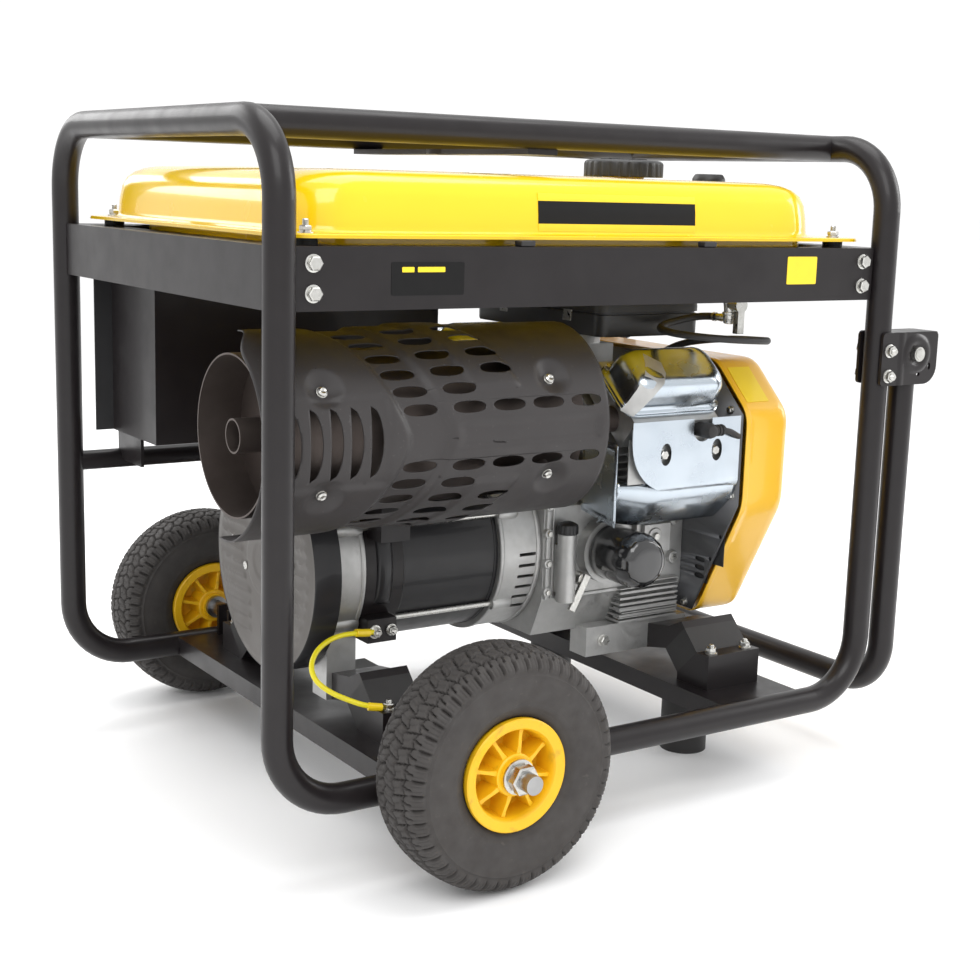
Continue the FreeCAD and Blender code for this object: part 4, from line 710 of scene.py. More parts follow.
def tank():
    """The pressed upper shell: steep walls, large round shoulders and a sculpted top."""
    walls = [(-8, -8, 0.2), (-3, -3, 0.9), (-0.6, -0.6, 3.5), (0, 0, 8), (0.8, 1.2, 22), (2.4, 4, 37),
             (6, 9.5, 47.5), (12, 18, 54.5),
             (20, 29, 59), (30, 42, 61.4), (42, 60, 62.4)]
    straight_x, straight_y = 48, 32

    def resample(inset_y, inset_x, corner):
        """A ring with round corners and evenly spaced points along its straight runs."""
        hx, hy = TANK_HALF_X - inset_x, TANK_HALF_Y - inset_y
        corner = min(corner, hx - 1, hy - 1)
        points = []
        corners = ((hx - corner, hy - corner, 0), (corner - hx, hy - corner, 90),
                   (corner - hx, corner - hy, 180), (hx - corner, corner - hy, 270))
        for number, (cx, cy, begin) in enumerate(corners):
            for step in range(14):
                angle = radians(begin + 90 * step / 14)
                points.append((TANK_MID_X + cx + corner * cos(angle), cy + corner * sin(angle)))
            nx, ny, _ = corners[(number + 1) % 4]
            end = radians(begin + 90)
            first = (TANK_MID_X + cx + corner * cos(end), cy + corner * sin(end))
            last = (TANK_MID_X + nx + corner * cos(end), ny + corner * sin(end))
            count = straight_x if number % 2 == 0 else straight_y
            points += [(first[0] + (last[0] - first[0]) * n / count, first[1] + (last[1] - first[1]) * n
                        / count)
                       for n in range(count)]
        return points
    skins = []
    for inset_y, inset_x, rise in walls:
        skins.append([(x, y, TANK_LOW + rise) for x, y in resample(inset_y, inset_x,
                                                                   max(62 - inset_y * 0.5, 12))])
    inset_y, inset_x = 42, 60
    while inset_y < 250:
        inset_y += 8
        inset_x += 8
        loop = resample(inset_y, inset_x, max(62 - inset_y * 0.5, 4))
        blend = smooth_step(42, 66, inset_y)
        skins.append([(x, y, (1 - blend) * (TANK_LOW + 62.6) + blend * tank_top_height(x, y)) for x, y in loop])
    Build().loft(skins, cap_end=True).piece("tank_top_shell", YELLOW, 60, replaces=("tank_upper_shell",))
    rim_loft = Build()
    lip = rounded(387.5, 285.6, 30, (406, 0), 10)
    inner = rounded(350, 255, 60, (393, 0), 10)
    rings = [[(x, y, 665.1) for x, y in inner], [(x, y, 665.1) for x, y in lip],
             [(x, y, 666.4) for x, y in lip], [(x, y, 667.0) for x, y in rounded(386.6, 284.7, 29, (406, 0),
                                                                                 10)],
             [(x, y, 667.0) for x, y in inner]]
    rim_loft.loft(rings)
    rim_loft.piece("tank_seam_lip", YELLOW, 40)
    Build().lathe("z", (CAP_X, CAP_Y), [(720, 24), (742, 24), (743, 25), (743, 26), (741, 26.2), (726, 26.2),
                                        (723, 30)], 48).piece(
        "tank_neck", YELLOW, 40)


def grooved(centre, profile, count):
    """Upright turned rings with a groove every sixth point; the profile is (height, radius, groove depth)."""
    rings = []
    for height, radius, depth in profile:
        ring = []
        for number in range(count):
            angle = 2 * pi * number / count
            reach = radius - (depth if number % 6 < 2 else 0)
            ring.append((centre[0] + reach * cos(angle), centre[1] + reach * sin(angle), height))
        rings.append(ring)
    return rings


def cap_and_gauge():
    """The ribbed filler cap and the dial gauge."""
    profile = ((732.5, 48.6, 0), (733.2, 49.6, 1.3), (748, 49.6, 1.3), (750.5, 48.6, 0.6), (752.3, 46, 0),
               (753.2, 42, 0), (753.2, 34, 0), (751.6, 32, 0), (751.6, 12, 0), (752.8, 9, 0), (752.8, 3, 0))
    build = Build()
    build.solid(grooved((CAP_X, CAP_Y), profile, 144))
    for number in range(3):
        build.turn = (Matrix.Translation((CAP_X, CAP_Y, 0)) @ Matrix.Rotation(radians(60 * number + 15), 4,
                                                                              "Z"))
        build.box(-29, 29, -2.2, 2.2, 751, 754.6)
    build.turn = Matrix()
    build.piece("fuel_cap_shell", PLASTIC, round_edges=0.5, replaces=("fuel_cap",), body="fuel_cap")
    Build().lathe("z", (GAUGE_X, GAUGE_Y), [(727, 21), (733, 21), (736, 19.4), (738.6, 17.5), (739.2, 15.5),
                                            (737.6, 14.6), (737.4, 2)], 48).piece(
        "gauge_bezel", PLASTIC, replaces=("fuel_gauge",))
    Build().lathe("z", (GAUGE_X, GAUGE_Y), [(737.5, 14), (738.3, 13.6)], 40).piece("gauge_dial", DIAL)
    needle = Build()
    needle.turn = Matrix.Translation((GAUGE_X, GAUGE_Y, 0)) @ Matrix.Rotation(radians(35), 4, "Z")
    needle.box(-2, 11, -0.7, 0.7, 738.2, 739.0)
    needle.piece("gauge_needle", RED, round_edges=0.2)


tank()
cap_and_gauge()


# ---------------------------------------------------------------- engine: covers, sheets and fan housing
SHROUD_Y = 217.2
CYLINDER_X = {NEAR: 505, FAR: 481}
PLUG_OFFSET, PLUG_Z = 103, 434
FILTER_X, FILTER_Z = 541, 272
CASE_HALF = 115
DIPSTICK_X, DIPSTICK_Y = 475, -130.2


def valve_cover(side):
    """A domed cover on a two-layer flange, with a recessed screw, a boss and a strap."""
    start = CYLINDER_X[side] - 12
    end = start + 152
    middle, half = (start + end) / 2, (end - start) / 2
    steps = [(0.5, 0.5, 270.2, 22), (0, 0, 270.8, 22), (0, 0, 273.2, 22), (0.6, 0.6, 273.9, 22),
             (1.6, 1.6, 274.0, 21),
             (1.8, 1.8, 276.2, 21), (2.6, 2.6, 277.0, 20), (4.6, 4.6, 277.4, 19), (5.8, 5.8, 278.6, 18),
             (6.4, 6.4, 284, 18),
             (7.4, 6.8, 297, 18), (9, 8, 305, 18), (12, 10.5, 311.5, 19), (17, 15, 315.8, 20),
             (23, 20.5, 317.7, 22), (30, 27, 317.9, 12)]
    rings = []
    for in_x, in_y, height, corner in steps:
        rings.append([(x, y, height) for x, y in rounded(half - in_x, 42 - in_y, corner, (middle, 0), 10)])
    name = SIDE_NAMES[side]
    build = Build(leaned(side))
    build.solid(rings)
    build.piece(name + "_valve_cover_dome", ZINC, 45,
                replaces=("valve_covers",) if side == NEAR else ())
    trim = Build(leaned(side))
    top = 317.6
    trim.lathe("z", (end - 34, -3 * side), [(top - 1, 11), (top, 11), (top + 0.2, 10), (top - 0.6, 8.8)], 32)
    trim.lathe("z", (start + 40, 2 * side), [(top - 1, 12.4), (top + 0.1, 12.2), (top + 0.3, 11)], 32)
    trim.piece(name + "_cover_bosses", ZINC)
    strap = Build(leaned(side))
    path = ((44, 10, 318.1, 13), (40, -6, 318.1, 14.5), (30, -22, 317.2, 13.5), (16, -33, 306, 11),
            (6, -38, 290, 9.5),
            (-1, -40, 280, 9))
    rings = []
    for along, y, z, half_width in path:
        x, wide, deep = start + along, half_width * 0.72, half_width * 0.62
        rings.append([(x - wide, -side * (y + deep), z - 1.2), (x + wide, -side * (y - deep), z - 1.2),
                      (x + wide, -side * (y - deep), z), (x - wide, -side * (y + deep), z)])
    strap.solid(rings)
    strap.piece(name + "_cover_strap", ALUMINIUM, 50)
    screws = Build(leaned(side))
    screws.lathe("z", (end - 34, -3 * side), [(top - 2, 6.6), (top - 0.3, 6.6), (top - 0.2, 5.2)], 24)
    for x, y in ((start + 12, 33.5), (end - 12, 33.5), (start + 12, -33.5), (end - 12, -33.5)):
        screws.lathe("z", (x, y), [(277, 4.6), (278.2, 4.6), (278.4, 3.6), (281.6, 3.6)], 6)
    screws.piece(name + "_cover_screws", BOLT, 30)


def shroud_edge(z, start):
    """How far left the outer sheet reaches at a height: its lower corner is one long curve."""
    if z > 425:
        return start
    share = min((425 - z) / 64.0, 1.0)
    return start + 62 * (1 - sqrt(max(1 - share ** 2.0, 0.0)))


def shrouds(side):
    """The bright outer sheet with its notch and two ovals, over a lower skirt that sweeps inward."""
    name = SIDE_NAMES[side]
    start = CYLINDER_X[side] - 5
    end, plug = 669, CYLINDER_X[side] + PLUG_OFFSET
    heights = [448 - 2.5 * n for n in range(int((448 - 361) / 2.5) + 1)] + [361]
    left = [(shroud_edge(z, start), z) for z in heights]
    bottom = [(min(left[-1][0] + 8 * n, end), 361) for n in range(1, 8)]
    notch = [(plug + 14.5, 448)] + [(plug + 14.5 * cos(radians(a)), PLUG_Z + 14.5 * sin(radians(a)))
                                   for a in range(0, -181, -15)] + [(plug - 14.5, 448)]
    outline = left + bottom + [(end, 361), (end, 448)] + notch
    holes = [oval((plug - 56, 407), 8.2, 13.5, 2.1, 28), oval((plug + 24, 408), 8.2, 13.5, 2.1, 28)]

    def plane(u, v):
        roll = 2.6 * (1 - smooth_step(361, 367, v))
        return u, side * (SHROUD_Y - roll), v
    sheet = pierced(name + "_shroud_sheet", outline, holes, plane, "machine", ZINC, 1.4, (16, 6), 40)
    bevel(sheet, 0.0004, 2, 50)
    if side == NEAR:
        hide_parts("cylinder_shrouds")
    screws = Build()
    for x, z in ((plug - 56, 406), (plug + 24, 407)):
        screws.bolt("y", (x, side * (SHROUD_Y - 7.5), z), side, 6.6, stud=0)
    screws.piece(name + "_shroud_screws", BOLT, 30)
    Build().box(start + 2, end, side * (SHROUD_Y - 9.5), side * (SHROUD_Y - 8), 372, 426).piece(
        name + "_shroud_inner_sheet", ALUMINIUM, 30)
    skirt = Build()
    rings = []
    profile = ((212.8, 372), (214.6, 366), (214.8, 360), (213.2, 353), (209.4, 346), (203.6, 339), (196.8, 332),
               (189.4, 325), (182, 318.5), (176.5, 313.6))
    for y, z in profile:
        row = []
        for n in range(41):
            x = start - 4 + (end - start + 4) * n / 40
            lean_in = 30 * (1 - smooth_step(0, 0.30, n / 40))
            row.append((x, side * (y - lean_in * 0.55), z + lean_in * (0.14 if z < 360 else 0.056)))
        rings.append(row)
    skirt.loft(rings, closed=False)
    thicken(skirt.piece(name + "_shroud_skirt", ZINC, 60), 1.2)
    cheek = Build()
    rows = [[(start - 3.5 + n / 6, side * (196 - 70 * n / 12), z + 10 * n / 12) for n in range(13)]
            for z in range(318, 428, 10)]
    cheek.loft(rows, closed=False)
    thicken(cheek.piece(name + "_shroud_cheek", ZINC, 60), 1.2)


def plug_and_lead(side):
    """The rubber boot with its elbow and ridges, and the ignition lead to the fan housing."""
    name = SIDE_NAMES[side]
    x, z = CYLINDER_X[side] + PLUG_OFFSET, PLUG_Z
    boot = Build()
    boot.lathe("y", (x, z), [(side * 202, 8.8), (side * 220, 8.8), (side * 222, 9.6), (side * 226, 9.8),
                             (side * 232, 9.2),
                             (side * 237, 7.2), (side * 239, 4)], 32)
    ridges = [(x - 4, 7)]
    for n in range(4):
        ridges += [(x + 3 + 5 * n, 7.2), (x + 5.2 + 5 * n, 7.2), (x + 5.6 + 5 * n, 6.0), (x + 7.6 + 5 * n, 6.0)]
    ridges.append((x + 23, 4.4))
    boot.lathe("x", (side * 229, z), ridges, 28)
    boot.piece(name + "_plug_boot", RUBBER, replaces=("spark_plugs",) if side == NEAR else ())
    lead = [at(x + 20, side * 229, z), at(x + 34, side * 228, z - 2), at(x + 47, side * 225, z - 8),
            at(x + 58, side * 219, z - 12), at(x + 63, side * 212, z - 13)]
    tube(name + "_ignition_lead", lead, 0.0035, "machine", RUBBER, order=3)


def polygon_ray(points, centre, angle):
    """How far a closed outline lies from a centre in a given direction."""
    dy, dz = cos(angle), sin(angle)
    best = 0.0
    for (y0, z0), (y1, z1) in zip(points, points[1:] + points[:1]):
        ey, ez = y1 - y0, z1 - z0
        bottom = dy * ez - dz * ey
        if abs(bottom) < 1e-9:
            continue
        wy, wz = y0 - centre[0], z0 - centre[1]
        reach = (wy * ez - wz * ey) / bottom
        along = (wy * dz - wz * dy) / bottom
        if -1e-6 <= along <= 1 + 1e-6 and reach > best:
            best = reach
    return best


def soft_corners(points, cut=16, steps=6):
    """Replace each corner of an outline by a curve."""
    result = []
    count = len(points)
    for number, corner in enumerate(points):
        before, after = points[number - 1], points[(number + 1) % count]
        ends = []
        for other in (before, after):
            length = dist(corner, other)
            share = min(cut, length * 0.45) / length
            ends.append((corner[0] + (other[0] - corner[0]) * share, corner[1] + (other[1] - corner[1])
                         * share))
        for step in range(steps + 1):
            t = step / steps
            result.append(tuple((1 - t) ** 2 * a + 2 * t * (1 - t) * b + t * t * c
                                for a, b, c in zip(ends[0], corner, ends[1])))
    return result


def fan_housing():
    """The pressed fan housing with soft edges, its seam lip and the round intake."""
    outline = soft_corners([(-222, 332), (-222, 450), (-157, 512), (157, 512), (222, 450), (222, 332),
                            (144, 178), (-144, 178)])
    centre, count = (0, 300), 256

    def loop(x, inset):
        ring = []
        for n in range(count):
            angle = 2 * pi * n / count
            reach = polygon_ray(outline, centre, angle) - inset
            ring.append((x, centre[0] + reach * cos(angle), centre[1] + reach * sin(angle)))
        return ring

    def hole(x, radius):
        ring = []
        for n in range(count):
            dy, dz = cos(2 * pi * n / count), sin(2 * pi * n / count)
            off = centre[1] - CRANK_Z
            reach = -off * dz + sqrt(max(radius ** 2 - (off * dy) ** 2, 0))
            ring.append((x, reach * dy, centre[1] + reach * dz))
        return ring
    rings = [loop(680, 2.2), loop(677, 2.2), loop(676.2, 1.6), loop(676.2, 0.3), loop(677, 0), loop(683, 0),
             loop(684, 0.6),
             loop(690, 0.7), loop(730, 0.7), loop(737, 1.1), loop(742, 2.3), loop(746, 4.8), loop(748.6, 8.6),
             loop(749.7, 13.5), loop(749.8, 22), hole(749.8, 126), hole(748.6, 121), hole(748.4, 113),
             hole(747.6, 109), hole(744, 107.4), hole(741, 107.4)]
    Build().loft(rings).piece("fan_housing_shell", HOUSING, 28, replaces=("blower_housing",))
    grille = Build()
    for radius in (115, 103, 91, 79, 67, 55, 43, 31):
        profile = [(752 + 1.7 * cos(2 * pi * n / 8), radius + 1.7 * sin(2 * pi * n / 8)) for n in range(8)]
        grille.lathe("x", (0, CRANK_Z), profile, 72, closed=True)
    for number in range(8):
        grille.turn = Matrix.Translation((0, 0, CRANK_Z)) @ Matrix.Rotation(radians(45 * number + 22.5), 4, "X")
        grille.box(750.4, 751.8, 22, 116, -1.6, 1.6)
    grille.turn = Matrix()
    grille.lathe("x", (0, CRANK_Z), [(750.3, 2), (750.3, 24), (752.8, 24), (753.8, 22), (753.8, 2)], 48)
    grille.piece("intake_grille", PLASTIC, 40, replaces=("blower_grille",))
    screws = Build()
    for y, z in ((-188, 420), (188, 420), (-150, 480), (150, 480), (-136, 205), (136, 205)):
        screws.bolt("x", (749.4, y, z), 1, 5.0, stud=0)
    screws.piece("fan_housing_screws", BOLT, 30)
    label = Build()
    along, out = Vector((0, 65, 62)).normalized(), Vector((0, -62, 65)).normalized()
    corners = [Vector((x, -222, 450)) + along * run for x, run in ((686, 18), (722, 18), (722, 74), (686, 74))]
    label.solid([[spot - out * 0.4 for spot in corners], [spot + out * 0.05 for spot in corners]])
    label.piece("fan_housing_label", YELLOW_LABEL, 30)


def fan_back_plate():
    """The sheet behind the housing's near side: a round middle hole, slots, small holes and its screws, with
    dark plates behind the openings as painted shade.
    """
    outline = [(-217, 334), (-217, 448), (-155, 507), (155, 507), (217, 448), (217, 334), (141, 183),
               (-141, 183)]
    holes = [arc((0, CRANK_Z), 60, 48)]
    for side in (NEAR, FAR):
        for z in (230, 241, 252):
            holes.append(oval((side * 152, z), 10, 3.2, 3))
        holes.append([(side * 188 + 3 * cos(a / 2), 288 + 3 * sin(a / 2)) for a in range(12)])
        holes.append([(side * 171 + 3 * cos(a / 2), 256 + 3 * sin(a / 2)) for a in range(12)])
    sheet = pierced("fan_back_sheet", outline, holes, lambda u, v: (673.2, u, v), "machine", GREY, 1.6, None,
                    30)
    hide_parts("blower_back_plate")
    dark = Build()
    for side in (NEAR, FAR):
        dark.box(675, 675.8, side * 138, side * 165, 222, 260)
        dark.box(675, 675.8, side * 165, side * 194, 250, 294)
    dark.piece("slot_shadow_plates", PLASTIC, 30)
    screws = Build()
    for side in (NEAR, FAR):
        for y, z in ((206, 345), (196, 452), (128, 190)):
            screws.bolt("x", (672.4, side * y, z), -1, 4.6, stud=0)
    screws.piece("back_sheet_screws", BOLT, 30)


def oil_filter():
    """The glossy can with a rolled seam and fluted end."""
    count = 112
    rings = []
    profile = [(133.4, 33, 0), (134.5, 34.8, 0), (137, 35, 0), (139, 34.2, 0), (141, 34.6, 0), (178, 34.6, 0),
               (186, 34.5, 0.1),
               (189, 34.3, 0.5), (195, 33.4, 0.8), (200, 31.6, 0.7), (204, 28.6, 0.4), (206.6, 24.5, 0.1),
               (207.8, 19, 0), (208, 8, 0)]
    for along, radius, depth in profile:
        ring = []
        for number in range(count):
            angle = 2 * pi * number / count
            reach = radius - depth * (0.5 + 0.5 * cos(14 * angle))
            ring.append((FILTER_X + reach * cos(angle), -along, FILTER_Z + reach * sin(angle)))
        rings.append(ring)
    Build().solid(rings).piece("oil_filter_can", FILTER, replaces=("oil_filter",))


def crankcase_details():
    """Ribs, bosses, joint lines, a drain plug and a linkage on the casting's near side."""
    cast = Build()
    screws = Build()
    for side in (NEAR, FAR):
        wall = CASE_HALF * side

        def pair(depth):
            return (wall - 2 * side, wall + depth * side) if side > 0 else (wall + depth * side,
                                                                            wall - 2 * side)
        cast.box(452, 458, *pair(4.5), 216, 342)
        cast.box(462, 466, *pair(2.5), 216, 342)
        cast.box(470, 668, *pair(3.0), 214, 219)
        for x, z in ((455, 226), (455, 262), (455, 300), (455, 334)):
            cast.lathe("y", (x, z), [(wall - side, 6.5), (wall + side * 6.2, 6.2)], 24)
            screws.bolt("y", (x, wall + side * 5.6, z), side, 4.4, stud=0, washer=False)
        for x, z in ((636, 330), (655, 250), (655, 300)):
            cast.lathe("y", (x, z), [(wall - side, 9), (wall + side * 7, 8.4)], 24)
            screws.bolt("y", (x, wall + side * 6.6, z), side, 5.4, stud=0, washer=False)
    cast.box(596, 640, -131, -112, 262, 300)
    cast.box(588, 596, -125, -112, 240, 320)
    cast.lathe("y", (613, 284), [(-112, 12), (-133, 11)], 28)
    cast.piece("crankcase_ribs", ALUMINIUM, round_edges=1.2)
    screws.bolt("y", (613, -133, 284), -1, 5.6, stud=0, washer=False)
    for x in (546, 640):
        screws.bolt("y", (x, -118.2, 152), -1, 7.2, stud=0)
    screws.piece("crankcase_screws", BOLT, 30)
    fins = Build()
    for number in range(8):
        z = 178 + number * 6.4
        x = 566 + 4 * (number % 2)
        fins.solid([[(x, y, z), (662, y, z), (662, y, z + h), (x, y, z + h)] for y,
                    h in ((-112, 2.6), (-124.6, 1.6))])
    fins.piece("sump_cooling_fins", ALUMINIUM, round_edges=0.5)
    link = Build()
    link.lathe("y", (500, 240), [(-112, 9), (-134, 8)], 28)
    link.turn = Matrix.Translation((500, 0, 240)) @ Matrix.Rotation(radians(28), 4, "Y")
    link.box(-5, 5, -139, -133, -42, 8)
    link.turn = Matrix()
    link.piece("governor_lever", BOLT, round_edges=1.2)
    cap = Build()
    cap.solid(grooved((DIPSTICK_X, DIPSTICK_Y), ((300.6, 11, 0), (301, 13.4, 0.9), (309, 13.4, 0.9),
                                                 (312, 12.6, 0.3),
                                                 (313.8, 9.5, 0), (315.6, 5, 0)), 72))
    cap.lathe("z", (DIPSTICK_X, DIPSTICK_Y), [(225.2, 2.4), (300.7, 2.4)], 16)
    cap.piece("dipstick_cap", PLASTIC, replaces=("oil_dipstick",), body="dipstick")


for side in (NEAR, FAR):
    valve_cover(side)
    shrouds(side)
    plug_and_lead(side)
fan_housing()
fan_back_plate()
oil_filter()
crankcase_details()


# ---------------------------------------------------------------- alternator
HALF_WIDTH = 298
PIVOT_X, PIVOT_Z = 860, 528
TAP_X, TAP_Y = 640, -218
BELL_RADIUS, ROD_REACH = 111, 108.5


def end_cover():
    """The pressed end cover: a shallow dished disc with slatted air openings and two screws."""
    rings, count = [], 180
    for number in range(64):
        radius = 129.2 * (1 - number / 64) + 0.8
        ring = []
        for n in range(count):
            angle = 2 * pi * n / count
            y, z = radius * cos(angle), radius * sin(angle)
            depth = 126.6 + 2.2 * smooth_step(118, 130, radius)
            slat = 0.0
            if 52 < radius < 121 and abs(z) < 100 and abs(y) > 30:
                saw = (z / 15.5) % 1.0
                band = (smooth_step(52, 56, radius) * (1 - smooth_step(115, 119, radius))
                        * smooth_step(30, 34, abs(y)))
                slat = 2.3 * band * (1 - smooth_step(0.0, 0.75, saw)) * smooth_step(0.0, 0.12, saw)
            dish = -1.6 * (1 - smooth_step(38, 44, radius)) + 1.2 * (1 - smooth_step(20, 24, radius))
            ring.append((depth - slat + dish, y, CRANK_Z + z))
        rings.append(ring)
    Build().loft(rings, cap_end=True).piece(
        "end_cover_disc", END_COVER, 40, replaces=("alternator_end_cover",))
    # The cover's side wall takes the black stator finish as painted shade: it belongs to the same cover as the
    # grey-brown disc and is dark from the shadow on it.
    Build().lathe("x", (0, CRANK_Z), [(128.4, 130), (130, 130.9), (159, 130.9), (160, 131), (161.8, 131),
                                      (161.8, 127.6), (130, 127.6)], 120, closed=True).piece(
        "end_cover_wall_painted_shade", STATOR)
    screws = Build()
    for y, z in ((-78, 12), (78, 12), (-44, -14), (44, -14)):
        screws.lathe("x", (y, CRANK_Z + z), [(127, 5), (124.6, 5), (124.2, 4), (124.1, 2)], 24)
    screws.piece("end_cover_screws", BOLT)


def alternator_trim():
    """Beads, bosses and tie rods along the alternator, and the bolted strap ear."""
    beads = Build()
    bead = ((-1, -1.5), (-1, 0.8), (-0.6, 1.5), (0.6, 1.5), (1, 0.8), (1, -1.5))
    for x, half in ((166, 2.2), (201, 2.6), (393, 2.6), (446, 3.0)):
        beads.lathe("x", (0, CRANK_Z), [(x + half * along, BELL_RADIUS + rise) for along, rise in bead], 96,
                    closed=True)
    rods, nuts = Build(), Build()
    for degrees in (28, 152, 215, 325):
        y = ROD_REACH * cos(radians(degrees))
        z = CRANK_Z + ROD_REACH * sin(radians(degrees))
        rods.lathe("x", (y, z), [(196, 3.4), (398, 3.4)], 16)
        beads.lathe("x", (y, z), [(168, 7.6), (170, 8.6), (202, 8.6), (203, 8)], 24)
        beads.lathe("x", (y, z), [(391, 8), (392, 8.6), (416, 8.6), (420, 6)], 24)
        nuts.bolt("x", (168.4, y, z), -1, 5.2, stud=0)
    beads.piece("bell_beads", ALUMINIUM)
    rods.piece("stator_tie_rods", BOLT)
    for x in (215, 236):
        nuts.bolt("y", (x, -115.4, 206.5), -1, 6.4, stud=0.5)
    nuts.piece("alternator_nuts", BOLT, 30)
    bands = Build()
    band = ((-1.6, 104.4), (-1.6, 105.5), (-1, 105.9), (1, 105.9), (1.6, 105.5), (1.6, 104.4))
    for x in (258, 386):
        bands.lathe("x", (0, CRANK_Z), [(x + along, radius) for along, radius in band], 96, closed=True)
    bands.piece("stator_bands", STATOR)
    strap = Build()
    rings = []
    for x, lift in ((219, 0.0), (224, 3.2), (236, 3.2), (241, 0.0)):
        row = []
        for n in range(25):
            angle = radians(140 + 62 * n / 24)
            reach = 109 + lift * smooth_step(0, 0.12, n / 24) * (1 - smooth_step(0.88, 1, n / 24))
            row.append((x, reach * cos(angle), CRANK_Z + reach * sin(angle)))
        rings.append(row)
    strap.loft(rings, closed=False)
    thicken(strap.piece("strap_pressed_rib", STATOR, 50), 1.0)
    Build().lathe("y", (214, 206.8), [(-115.2, 8), (-116.6, 8)], 28).piece("earth_ring", BOLT)
    for name, run in (("upper", ((205, -118, 207.3), (196, -118.6, 208.4), (187, -119, 209.8))),
                      ("lower", ((161, -196.3, 148.8), (168, -198.2, 147.6), (176, -199.8, 146.4)))):
        tube("earth_lead_sleeve_" + name, placed(run), 0.0046, "machine", YELLOW_LABEL)


# ---------------------------------------------------------------- handle brackets, labels and trim
def handle_brackets():
    """Pressed ears with a dished ring about the pivot and a folded stop plate across the top."""
    for side in (NEAR, FAR):
        name = SIDE_NAMES[side]
        for way in (-1, 1):
            outline = []
            for cx, cz, radius, begin in ((892, 549, 6, 0), (806, 549, 6, 90), (805, 495, 5, 180),
                                          (876, 512, 22, 270)):
                outline += arc((cx, cz), radius, 9, begin, begin + 101.25)
            holes = [arc((866, 503), 3, 16), arc((885, 512), 2.4, 16, half_v=4.6)]

            def place(u, v, side=side, way=way):
                away = hypot(u - PIVOT_X, v - PIVOT_Z)
                raised = 2.6 * smooth_step(11, 15, away) * (1 - smooth_step(20, 25, away))
                fold = 1.2 * smooth_step(829, 833, u) * (1 - smooth_step(836, 840, u))
                return u, HALF_WIDTH * side + way * (18.8 + max(raised, fold)), v
            ear = pierced(f"{name}_ear_{'outer' if way == side else 'inner'}", outline, holes, place, "machine",
                          POWDER, 3.8, (2.6, 2.6), 40)
            bevel(ear, 0.0008, 2, 50)
            if side == NEAR and way == NEAR:
                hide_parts("handle_brackets")
        top = Build()
        y0, y1 = HALF_WIDTH * side - 20.6, HALF_WIDTH * side + 20.6
        top.box(820, 897, y0, y1, 551.4, 555)
        top.box(894.4, 897.8, y0 + 2, y1 - 2, 546, 555)
        top.piece(name + "_stop_plate", POWDER, round_edges=1.2)
    bolts = Build()
    for side in (NEAR, FAR):
        for way in (-1, 1):
            bolts.bolt("y", (PIVOT_X, HALF_WIDTH * side + 20.8 * way, PIVOT_Z), way, 8.0, stud=0)
    bolts.piece("pivot_bolt_heads", BOLT, 30)


def labels():
    """Blank plates where the maker's labels sit."""
    dark, bright = Build(), Build()

    def plate(build, half_x, half_z, corner, middle, steps, back, front):
        build.solid([[(x, y, z) for x, z in rounded(half_x, half_z, corner, middle, steps)]
                     for y in (back, front)])
    plate(dark, 42.5, 16.5, 2, (164.5, 624.5), 4, -297.9, -298.35)
    plate(bright, 23.5, 16, 1.5, (676.5, 630), 4, -297.9, -298.35)
    for x, half in ((141, 7), (168, 16)):
        plate(bright, half, 2.6, 0.8, (x, 633.5), 3, -298.3, -298.6)
    for build, z0, z1 in ((bright, 671, 679), (dark, 679, 703), (bright, 703, 711)):
        rings = []
        for x in (322, 540):
            outer, inner = [], []
            for n in range(7):
                z = z0 + (z1 - z0) * n / 6
                inset = (0.8 * smooth_step(675, 689, z) + 1.6 * smooth_step(689, 704, z)
                         + 2.6 * smooth_step(704, 715, z))
                outer.append((x, -262 + inset - 0.75, z))
                inner.append((x, -262 + inset + 0.6, z))
            rings.append(outer + list(reversed(inner)))
        build.solid(rings)
    dark.piece("blank_dark_labels", BLACK_LABEL, 30)
    bright.piece("blank_yellow_labels", YELLOW_LABEL, 30)


def beam_bumpers():
    """Small rubber blocks clipped over the near and far beam edges."""
    build = Build()
    for side in (NEAR, FAR):
        for x in (286, 535):
            build.box(x - 9, x + 9, side * 297.2, side * 284, 656.2, 662.4)
    build.piece("beam_bumpers", RUBBER, round_edges=1.5)


def air_box():
    """The air cleaner: a moulded base, a lid with a stepped lip and four clamp clips."""
    half_x, half_y, middle = 80, 140, (585, 0)
    steps = [(6, 540.3, 12), (2, 541.2, 14), (0.8, 544, 16), (0.6, 566, 16), (0.4, 567, 16), (2.4, 567.6, 16),
             (2.4, 569.4, 16),
             (0, 570, 16), (0, 576, 16), (1.2, 590, 17), (3, 594.6, 18), (7, 597.2, 20), (12, 597.9, 22),
             (26, 597.9, 16), (29, 595.4, 14), (60, 595.2, 4)]
    build = Build()
    build.solid([[(x, y, z) for x, y in rounded(half_x - inset, half_y - inset, corner, middle, 8)]
                 for inset, z, corner in steps])
    build.piece("air_cleaner_cover", PLASTIC, 40, replaces=("air_filter_box",))
    clips = Build()
    for y in (-70, 70):
        for x, way in ((505.4, -1), (664.6, 1)):
            clips.box(min(x, x - way * 3), max(x, x - way * 3) + 0.1, y - 9, y + 9, 556, 582)
    clips.piece("air_cleaner_clips", BOLT, 30, round_edges=0.6)


